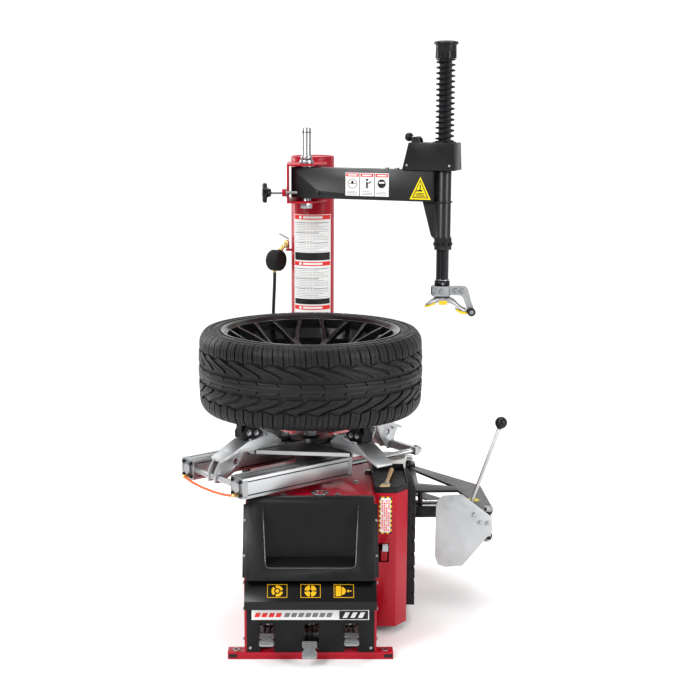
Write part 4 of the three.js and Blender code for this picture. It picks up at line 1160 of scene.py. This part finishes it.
def add_column_labels():
    """Two wrapped paper labels, each with red bars, a few grey lines and three plain round signs."""
    label = Shape()

    def wrapped(a0, a1, z0, z1, d0, d1, material, steps=14):
        """A patch bent round the column, from a0 to a1 round its skin."""
        rings = []
        for i in range(steps + 1):
            a = a0 + (a1 - a0) * i / steps
            rings.append([column_place(a, z0, d0), column_place(a, z1, d0), column_place(a, z1, d1),
                          column_place(a, z0, d1)])
        label.add(rings, material)

    left, right = -78, 76
    wrapped(left, right, 900, 1315, 0.1, 0.5, LABEL_WHITE)
    for low, high in ((1297, 1313), (1130, 1145), (970, 985)):
        wrapped(left + 3, right - 3, low, high, 0.5, 0.75, LABEL_RED)
        wrapped(left + 26, left + 36, low + 3, high - 3, 0.75, 0.95, LABEL_WHITE, 4)
        wrapped(left + 42, right - 40, low + 4, high - 4, 0.75, 0.95, LABEL_WHITE, 8)
    for low, high in ((1150, 1178), (990, 1010)):
        wrapped(left + 5, right - 5, low, high, 0.5, 0.7, PRINT_AND_SHADE_BLACK)
    for top, bottom in ((1290, 1182), (1124, 1014), (962, 904)):
        rows = int((top - bottom) / 6)
        for k in range(rows):
            reach = 0.94 - 0.28 * ((k * 7) % 5 == 2) - 0.14 * ((k * 3) % 4 == 1)
            z = top - 6 * (k + 1)
            wrapped(left + 5, left + 5 + (right - left - 10) * reach, z, z + 1.2 + 1.6 * (k % 6 == 0), 0.5,
                    0.7, LABEL_GREY, 10)
    label.piece("column_labels", "base")


def add_column_top():
    """The bracket's collar, and the column's red cap with a raised rim."""
    details = Shape()
    details.ring((PIVOT.x, PIVOT.y, 1503), (PIVOT.x, PIVOT.y, 1513), 25, 16.2, STEEL, 40)
    cap = [(0, 77.6), (3, 77.6), (5, 75), (5, 70), (2, 69), (2, 1)]
    details.turned((COLUMN_X, COLUMN_Y, 1516), (COLUMN_X, COLUMN_Y, 1522), cap, RED, 64)
    details.piece("bracket_collar", "base", bevel=0.4)


def add_pivot_top():
    """A collar, a snap ring and a round button on the pivot shaft's upper end."""
    top = Shape()
    x, y = PIVOT.x, PIVOT.y
    top.ring((x, y, 1519), (x, y, 1531), 20.5, 15.9, STEEL, 40)
    top.ring((x, y, 1610), (x, y, 1613), 17, 15.5, DARK_STEEL, 40)
    top.bar((x, y, 1625), (x, y, 1627), 11, STEEL, 36)
    top.piece("pivot_collar", "base")


def add_stop_screw():
    """A seven-lobed star knob on a threaded rod with a red lock nut."""
    x0, x1, y, z = -166, -150, 282, 1406
    screw = Shape()
    outline = []
    for k in range(98):
        angle = around(k, 98)
        radius = 29.5 + 5.6 * math.cos(7 * angle)
        outline.append((y + radius * math.cos(angle), z + radius * math.sin(angle)))
    rings = []
    for x, scale in ((x0, 0.86), (x0 + 3, 0.97), (x0 + 8, 1.0), (x1 - 2, 0.97), (x1, 0.88)):
        rings.append([(x, y + (a - y) * scale, z + (b - z) * scale) for a, b in outline])
    screw.add(rings, PLASTIC, smooth=True)
    screw.turned((x1 - 1, y, z), (-135, y, z), [(0, 19), (6, 15), (14, 13), (15, 10)], PLASTIC, 36)
    screw.turned((x0, y, z), (x0 - 4, y, z), [(0, 13), (1.2, 12.5), (1.2, 8), (0.4, 7)], STEEL, 32)
    threads = []
    start, stop, pitch = -136, -46, 2.6
    turns = int((stop - start) / pitch)
    for k in range(turns):
        threads += [(pitch * k, 5.0), (pitch * (k + 0.5), 6.0)]
    threads.append((stop - start, 5.0))
    screw.turned((start, y, z), (stop, y, z), threads, STEEL, 24)
    screw.piece("star_knob", "stop_knob", replaces=["stop_screw"])
    nut = Shape()
    nut.turned((-98, y, z), (-84, y, z), [(0, 12.5), (1, 13.4), (12, 13.4), (13, 12.5)], RED, 6,
               smooth=False)
    nut.bar((-84, y, z), (-82, y, z), 17, STEEL, 28)
    nut.piece("stop_nut", "base")


def add_gauge():
    """The inflator: a rubber-booted dial, a brass valve body and the hose's swivel."""
    x, y, z, h = -125, 512, 1143, 23
    gauge = Shape(moved(x, y, z, math.radians(-35)))
    boot = [(0, 30), (1, 34.5), (4, 36.4), (42, 36.4), (45, 34.5), (46, 30), (44, 26), (44, 1)]
    gauge.turned((-h, 0, 0), (h, 0, 0), boot, RUBBER, 64)
    for k in range(26):
        angle = around(k, 26)
        place = Vector((0, 36 * math.cos(angle), 36 * math.sin(angle)))
        gauge.bar(place - Vector((18, 0, 0)), place + Vector((18, 0, 0)), 2.3, RUBBER, 10)
    gauge.ring((-h, 0, 0), (-h - 2.5, 0, 0), 32, 27, CHROME, 64)
    gauge.bar((-h, 0, 0), (-h - 1, 0, 0), 27, LABEL_WHITE, 48)
    for k in range(25):
        angle = math.radians(225 - 270 * k / 24)
        out = Vector((0, math.cos(angle), math.sin(angle)))
        long = 6 if k % 4 == 0 else 3.4
        inner = Vector((-h - 1.2, 0, 0)) + out * (24 - long)
        gauge.bar(inner, inner + out * long, 0.5, PRINT_AND_SHADE_BLACK, 6)
    needle = Vector((0, math.cos(2.6), math.sin(2.6)))
    hub = Vector((-h - 1.8, 0, 0))
    gauge.bar(hub - needle * 5, hub + needle * 20, 0.7, LABEL_RED, 8)
    gauge.bar((-h - 1, 0, 0), (-h - 2.6, 0, 0), 2.6, PRINT_AND_SHADE_BLACK, 20)
    gauge.local = ROOM
    valve = [(0, 8), (10, 8), (11, 9.4), (18, 9.4), (19, 7.4), (44, 7.4), (45, 8.6), (49, 8)]
    gauge.turned((x + 8, y, z + 30), (-85, y, z + 66), valve, BRASS, 28)
    gauge.turned((-87, y, z + 46), (-87, y, z + 74), [(0, 8), (2, 9), (24, 9), (26, 8), (28, 5)], BRASS, 28)
    gauge.turned((x - 6, y, z - 32), (x - 6, y, z - 44), [(0, 9), (4, 9), (4, 7), (12, 7)], BRASS, 6,
                 smooth=False)
    gauge.tube([(-85, y, z + 58), (-79, y, z + 66), (-78, y, z + 52), (-80, y, z + 43), (-85, y, z + 43)],
               1.8, STEEL, 10)
    gauge.piece("inflator_with_dial", "base", replaces=["inflator_gauge"])


# ---- Swing arm, lock housing, tool column --------------------------------------------------------


def add_arm_labels():
    """Three white panels with red heads and black figures, and a yellow triangle near the arm's end."""
    label = Shape(ARM)
    y = -32

    def face(outline, d0, d1, material):
        """An outline of (x, z) points between two layers above the arm's front."""
        label.slab_y(outline, y - d1, y - d0, material)

    def box(x0, x1, z0, z1, d0, d1, material):
        """A rectangle between two layers."""
        face([(x0, z0), (x1, z0), (x1, z1), (x0, z1)], d0, d1, material)

    def disc(cx, cz, r, d0, d1, material, sides=20):
        """A round spot between two layers."""
        face([(cx + r * math.cos(around(k, sides)), cz + r * math.sin(around(k, sides)))
              for k in range(sides)], d0, d1, material)

    for k in range(3):
        x0 = 158 + 53 * k
        box(x0, x0 + 50, 1400, 1478, 0.1, 0.5, LABEL_WHITE)
        box(x0 + 2, x0 + 48, 1465, 1476, 0.5, 0.7, LABEL_RED)
        box(x0 + 8, x0 + 42, 1468.5, 1472.5, 0.7, 0.85, LABEL_WHITE)
        for row in range(3):
            box(x0 + 6, x0 + 44 - 7 * (row == 2), 1404 + 5 * row, 1406 + 5 * row, 0.5, 0.7, LABEL_GREY)
    label.ring((183, y - 0.1, 1441), (183, y - 0.7, 1441), 17, 14.6, PRINT_AND_SHADE_BLACK, 36)
    box(171, 196, 1440, 1442, 0.5, 0.75, PRINT_AND_SHADE_BLACK)
    disc(183, 1446, 5, 0.5, 0.75, PRINT_AND_SHADE_BLACK)
    disc(236, 1455, 4.4, 0.5, 0.75, PRINT_AND_SHADE_BLACK)
    face([(231, 1426), (233, 1448), (239, 1448), (241, 1426), (237, 1426), (236, 1440), (235, 1426)], 0.5,
         0.75, PRINT_AND_SHADE_BLACK)
    face([(242, 1440), (252, 1448), (252, 1452), (241, 1446)], 0.5, 0.75, PRINT_AND_SHADE_BLACK)
    disc(289, 1443, 15, 0.5, 0.75, PRINT_AND_SHADE_BLACK, 28)
    box(279, 299, 1444, 1449, 0.75, 0.9, LABEL_WHITE)
    cx, low, half, high = 426, 1394, 37, 76
    for inset, d0, d1, material in ((0, 0.1, 0.5, YELLOW), (4.5, 0.5, 0.7, PRINT_AND_SHADE_BLACK),
                                    (7.5, 0.7, 0.9, YELLOW)):
        face([(cx - half + inset * 1.8, low + inset), (cx + half - inset * 1.8, low + inset),
              (cx, low + high - inset * 2)],
             d0, d1, material)
    for row in range(3):
        box(cx - 17 + 2 * row, cx + 17 - 2 * row, low + 10 + 4.5 * row, low + 12.5 + 4.5 * row, 0.9, 1.1,
            PRINT_AND_SHADE_BLACK)
    face([(cx - 14, low + 27), (cx + 8, low + 27), (cx + 8, low + 31), (cx + 2, low + 33),
          (cx + 2, low + 50), (cx - 2, low + 50), (cx - 2, low + 33), (cx - 14, low + 30)], 0.9, 1.1,
         PRINT_AND_SHADE_BLACK)
    label.piece("arm_labels", "arm")


def add_arm_details():
    """The pivot's thrust ring, the weld beads at the sleeve, and the collar's clamp bolts."""
    arm = Shape(ARM)
    arm.ring((0, 0, 1491.5), (0, 0, 1497), 27, 16.6, STEEL, 48)
    for x in (300, 336):
        arm.bolt((x, -12, 1491.5), (0, 0, 1), 8)
    for side in (-1, 1):
        for k in range(18):
            z = 1392 + 5.4 * k
            arm.ball((471, side * 31, z), 3.4, BLACK, 10)
    # Clamp bolts round the sleeve's collar.
    for k in range(8):
        angle = around(k + 0.5, 8)
        out = Vector((math.cos(angle), math.sin(angle), 0))
        arm.bolt(Vector((ARM_REACH, 0, 1245)) + out * 28.6, out, 6, DARK_STEEL, washer=False)
    arm.ring((ARM_REACH, 0, 1384), (ARM_REACH, 0, 1389), 30.5, 25.6, BLACK, 40)
    arm.ring((ARM_REACH, 0, 1264), (ARM_REACH, 0, 1268), 29, 25.6, BLACK, 40)
    arm.piece("arm_bolts", "arm", bevel=0.3)


def add_lock_details():
    """The lock housing's screws, side ribs, top ring and knob cheeks, and its lever with the ball."""
    housing = Shape(ARM)
    for side in (-1, 1):
        for x in (380, 528):
            housing.screw((x, side * 41.6, 1508), (0, side, 0), 4.2, STEEL)
        for k in range(5):
            z = 1524 + 8 * k
            rib = [(404, z), (520, z), (520, z + 3), (404, z + 3)]
            housing.slab_y(rib, side * 42, side * 42.8, PLASTIC)
    housing.ring((ARM_REACH, 0, 1583), (ARM_REACH, 0, 1586), 40, 34.5, PLASTIC, 48)
    for side in (-1, 1):
        cheek = [(388, 1582), (388, 1596), (396, 1602), (408, 1602), (416, 1594), (418, 1582)]
        housing.slab_y(cheek, side * 14, side * 20, BLACK)
    housing.piece("lock_cover", "arm", bevel=0.8)
    lever = Shape(ARM)
    lever.ball((374, 0, 1600), 15, GLOSS_BLACK, 36)
    lever.turned((374, 0, 1600), (402, 0, 1592), [(8, 8.5), (16, 6.4), (20, 5), (29, 5)], STEEL, 28)
    lever.bar((402, -12.5, 1592), (402, 12.5, 1592), 7.5, STEEL, 32)
    lever.bar((402, -20.6, 1592), (402, 20.6, 1592), 3.4, DARK_STEEL, 20)
    lever.piece("lock_lever_with_ball", "arm_lock", replaces=["lock_lever"])


def add_spring():
    """The coil spring between the lock housing and the cap; it is squeezed as the tool column drops."""
    low, high = 1583.6, 1856.2
    coils, steps, radius, wire = 17, 28, 29.6, 2.7
    points = []
    total = coils * steps
    for k in range(total + 1):
        turns = k / steps
        # The end coils lie flat; the others share the rest of the height.
        ease = min(max((turns - 1) / (coils - 2), 0), 1)
        z = low + wire + (high - low - 2 * wire) * ease
        z += min(turns, 1) * wire * 0.9 - wire * 0.9 + (max(turns - (coils - 1), 0)) * wire * 0.9
        z = min(max(z, low + wire), high - wire)
        angle = 2 * math.pi * turns
        points.append((ARM_REACH + radius * math.cos(angle), radius * math.sin(angle), z))
    spring = Shape(ARM)
    spring.tube(points, wire, DARK_STEEL, 10)
    coil = spring.piece("shaft_coil_spring", "arm", replaces=["shaft_spring"])
    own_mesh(coil)


def add_cap():
    """The knob on top: a slotted skirt, a wide rim and a low dome."""
    x = ARM_REACH
    cap = Shape(ARM)
    profile = [(0, 30), (1, 31), (22, 31), (23, 34.6), (43, 34.6), (45, 36), (46, 40), (49, 40.5),
               (53, 40.5), (55, 38.5), (57.5, 26), (58.6, 12), (59, 1)]
    cap.turned((x, 0, 1857), (x, 0, 1914), profile, PLASTIC, 72)
    for k in range(14):
        cap.local = ARM @ moved(x, 0, 0, around(k, 14))
        cap.box((29, -5.2, 1857), (34.6, 5.2, 1881), PLASTIC)
    cap.piece("shaft_cap_slotted", "tool", bevel=0.6, replaces=["shaft_cap"])


def add_mount_head():
    """The cast duck head: a split clamp, a flag with the roller, and a curved shoe with nylon inserts."""
    head = Shape(TOOL)
    clamp = [(-34, -16), (-30, -25), (20, -25), (26, -18), (26, 18), (20, 25), (-30, 25), (-34, 16)]
    head.plate(clamp, 1069, 1103, CAST_ALUMINIUM)
    head.box((-37, -3, 1072), (-33, 3, 1100), DARK_STEEL)
    flag = [(20, 1071), (20, 1101), (62, 1102), (80, 1100), (88, 1092), (98, 1056), (110, 1020),
            (108, 1008), (100, 1003), (92, 1008), (84, 1030), (72, 1062), (62, 1070)]
    head.slab_y(flag, -7.6, 7.6, CAST_ALUMINIUM)
    for x, z in ((46, 1086), (68, 1084)):
        head.bolt((x, -7.6, z), (0, -1, 0), 9, STEEL)
        head.bolt((x, 7.6, z), (0, 1, 0), 9, STEEL)
    sections = [(-56, 1036, 2.5, 10), (-46, 1041, 3.5, 17), (-34, 1050, 5, 22), (-18, 1056, 10, 24),
                (4, 1056, 12, 25), (26, 1054, 10, 25), (42, 1046, 9, 24), (56, 1032, 8, 22),
                (70, 1021, 8, 20), (82, 1018, 6, 15)]
    rings = []
    for x, z, thick, half in sections:
        ring = []
        for k in range(20):
            angle = around(k, 20)
            c, s = math.cos(angle), math.sin(angle)
            y = half * math.copysign(abs(c) ** 0.6, c)
            sag = 5.5 * (1 - (y / 25) ** 2)
            ring.append((x, y, z + sag - 3 + thick * math.copysign(abs(s) ** 0.7, s)))
        rings.append(ring)
    head.add(rings, CAST_ALUMINIUM, smooth=True)
    for side in (-1, 1):
        head.bolt((-4, side * 25, 1086), (0, side, 0), 9, STEEL)
        head.bolt((-24, side * 25, 1086), (0, side, 0), 9, STEEL)
    head.piece("mount_head_cast", "tool", bevel=1.1, replaces=["mount_head"])
    inserts = Shape(TOOL)
    inserts.add([[(x, y, z) for y, z in ((-w, 1029 + d), (w, 1029 + d), (w, 1036 + d), (-w, 1036 + d))]
                 for x, w, d in ((-58, 8, 0), (-46, 16, 3), (-34, 20, 9), (-22, 22, 12))], NYLON)
    inserts.add([[(x, y, z) for y, z in ((-w, 1006 + d), (w, 1006 + d), (w, 1014 + d), (-w, 1014 + d))]
                 for x, w, d in ((48, 20, 12), (60, 20, 5), (72, 19, 1), (86, 13, 0))], NYLON)
    inserts.box((-12, -25.6, 1040), (16, -24, 1054), NYLON)
    inserts.piece("head_inserts", "tool", bevel=0.8)
    roller = Shape(TOOL)
    roller_profile = [(0, 5), (0, 12), (1.4, 13.8), (12, 13.8), (13.4, 12), (13.4, 5)]
    for y0, y1 in ((-22, -8.6), (8.6, 22)):
        roller.turned((100, y0, 1014), (100, y1, 1014), roller_profile, RUBBER, 40)
        roller.ring((100, y0 - 0.4, 1014), (100, y1 + 0.4, 1014), 7, 4.2, STEEL, 28)
    roller.bar((100, -24, 1014), (100, 24, 1014), 4, STEEL, 24)
    roller.piece("head_roller_rubber", "roller", replaces=["head_roller"])


def add_shaft_ring():
    """A ring, a washer and a grub screw on the hex shaft, above the mount head's clamp."""
    shaft = Shape(TOOL)
    shaft.ring((0, 0, 1105), (0, 0, 1119), 26, 21, DARK_STEEL, 40)
    shaft.ring((0, 0, 1122), (0, 0, 1125), 24.6, 21, STEEL, 40)
    shaft.bolt((0, -24, 1112), (0, -1, 0), 5, STEEL, washer=False)
    shaft.piece("shaft_ring", "tool")


def add_air_fitting():
    """The brass port and steel ring on the air unit, where the hose ends."""
    air = Shape()
    air.turned((*AIR_UNIT, 439.6), (*AIR_UNIT, 455), [(0, 11), (4, 11), (4, 8.4), (15, 8.4)], BRASS, 6,
               smooth=False)
    air.ring((*AIR_UNIT, 428), (*AIR_UNIT, 434), 27, 22, STEEL, 40)
    air.piece("air_unit_fitting", "base")


add_camera()
add_hose()
add_tire()
add_rim()
add_console_trim()
add_hood_signs()
add_panel_band()
add_pedal("pedal_left_forked", "left_pedal", "pedal_left", -136, (-468, 100), (-512, 80))
add_pedal("pedal_center_forked", "center_pedal", "pedal_center", -3, (-472, 74), (-514, 36))
add_pedal("pedal_right_forked", "right_pedal", "pedal_right", 127, (-468, 102), (-512, 82))
add_locker_label()
add_cabinet_bolts()
add_foot_slot_shade()
add_cabinet_seams_and_louvre_shade()
add_cabinet_side_screws()
add_slides_and_claws()
add_cheek_bolts()
add_plate_edge()
add_clamping_cylinders()
add_breaker_details()
add_breaker_sticker()
add_brush()
add_bucket()
add_lever_grip()
add_pad_screws()
add_column_labels()
add_column_top()
add_pivot_top()
add_stop_screw()
add_gauge()
add_arm_labels()
add_arm_details()
add_lock_details()
add_spring()
add_cap()
add_mount_head()
add_shaft_ring()
add_air_fitting()


# ---- Floor and light -----------------------------------------------------------------------------


def add_stage():
    """A pale floor that curves up into a backdrop."""
    floor_back = 4.5
    bend = 1.2
    profile = [(-9.0, 0.0), (floor_back, 0.0)]
    profile += [(floor_back + bend * math.sin(a), bend * (1 - math.cos(a)))
                for a in (math.pi / 2 * i / 16 for i in range(1, 17))]
    profile += [(floor_back + bend, 9.0)]
    data = bpy.data.meshes.new("floor")
    points = [(x, y, z) for x in (-9.0, 9.0) for y, z in profile]
    count = len(profile)
    data.from_pydata(points, [], [(i, i + count, i + count + 1, i + 1) for i in range(count - 1)])
    for polygon in data.polygons:
        polygon.use_smooth = True
    floor = bpy.data.objects.new("floor", data)
    bpy.context.collection.objects.link(floor)
    paper = Nodes("studio paper", (0.93, 0.93, 0.93), 0.9)
    paper.vary_roughness(paper.noise(3), 0.04)
    data.materials.append(paper.material)


def add_light(name, place, target, size, power):
    """A rectangular soft light that faces its target; places and sizes are in metres."""
    data = bpy.data.lights.new(name, "AREA")
    data.shape = "RECTANGLE"
    data.size, data.size_y = size
    data.energy = power
    light = bpy.data.objects.new(name, data)
    light.location = place
    light.rotation_euler = (Vector(target) - Vector(place)).to_track_quat("-Z", "Y").to_euler()
    bpy.context.collection.objects.link(light)


add_stage()
add_light("key", (-3.2, -3.6, 3.8), (0, 0, 0.9), (2.2, 2.6), 220)
add_light("fill", (3.8, -3.0, 2.4), (0, 0, 0.8), (2.0, 2.6), 150)
add_light("top", (0, 0.6, 4.6), (0, 0, 0.6), (3.0, 2.2), 130)
add_light("rim_left", (-3.4, 2.6, 2.4), (0, 0, 1.0), (1.0, 2.4), 60)
world = bpy.data.worlds.new("studio")
bpy.context.scene.world = world
world.use_nodes = True
world.node_tree.nodes["Background"].inputs["Color"].default_value = (1, 1, 1, 1)
world.node_tree.nodes["Background"].inputs["Strength"].default_value = 0.6
bpy.context.scene.view_settings.view_transform = "Standard"
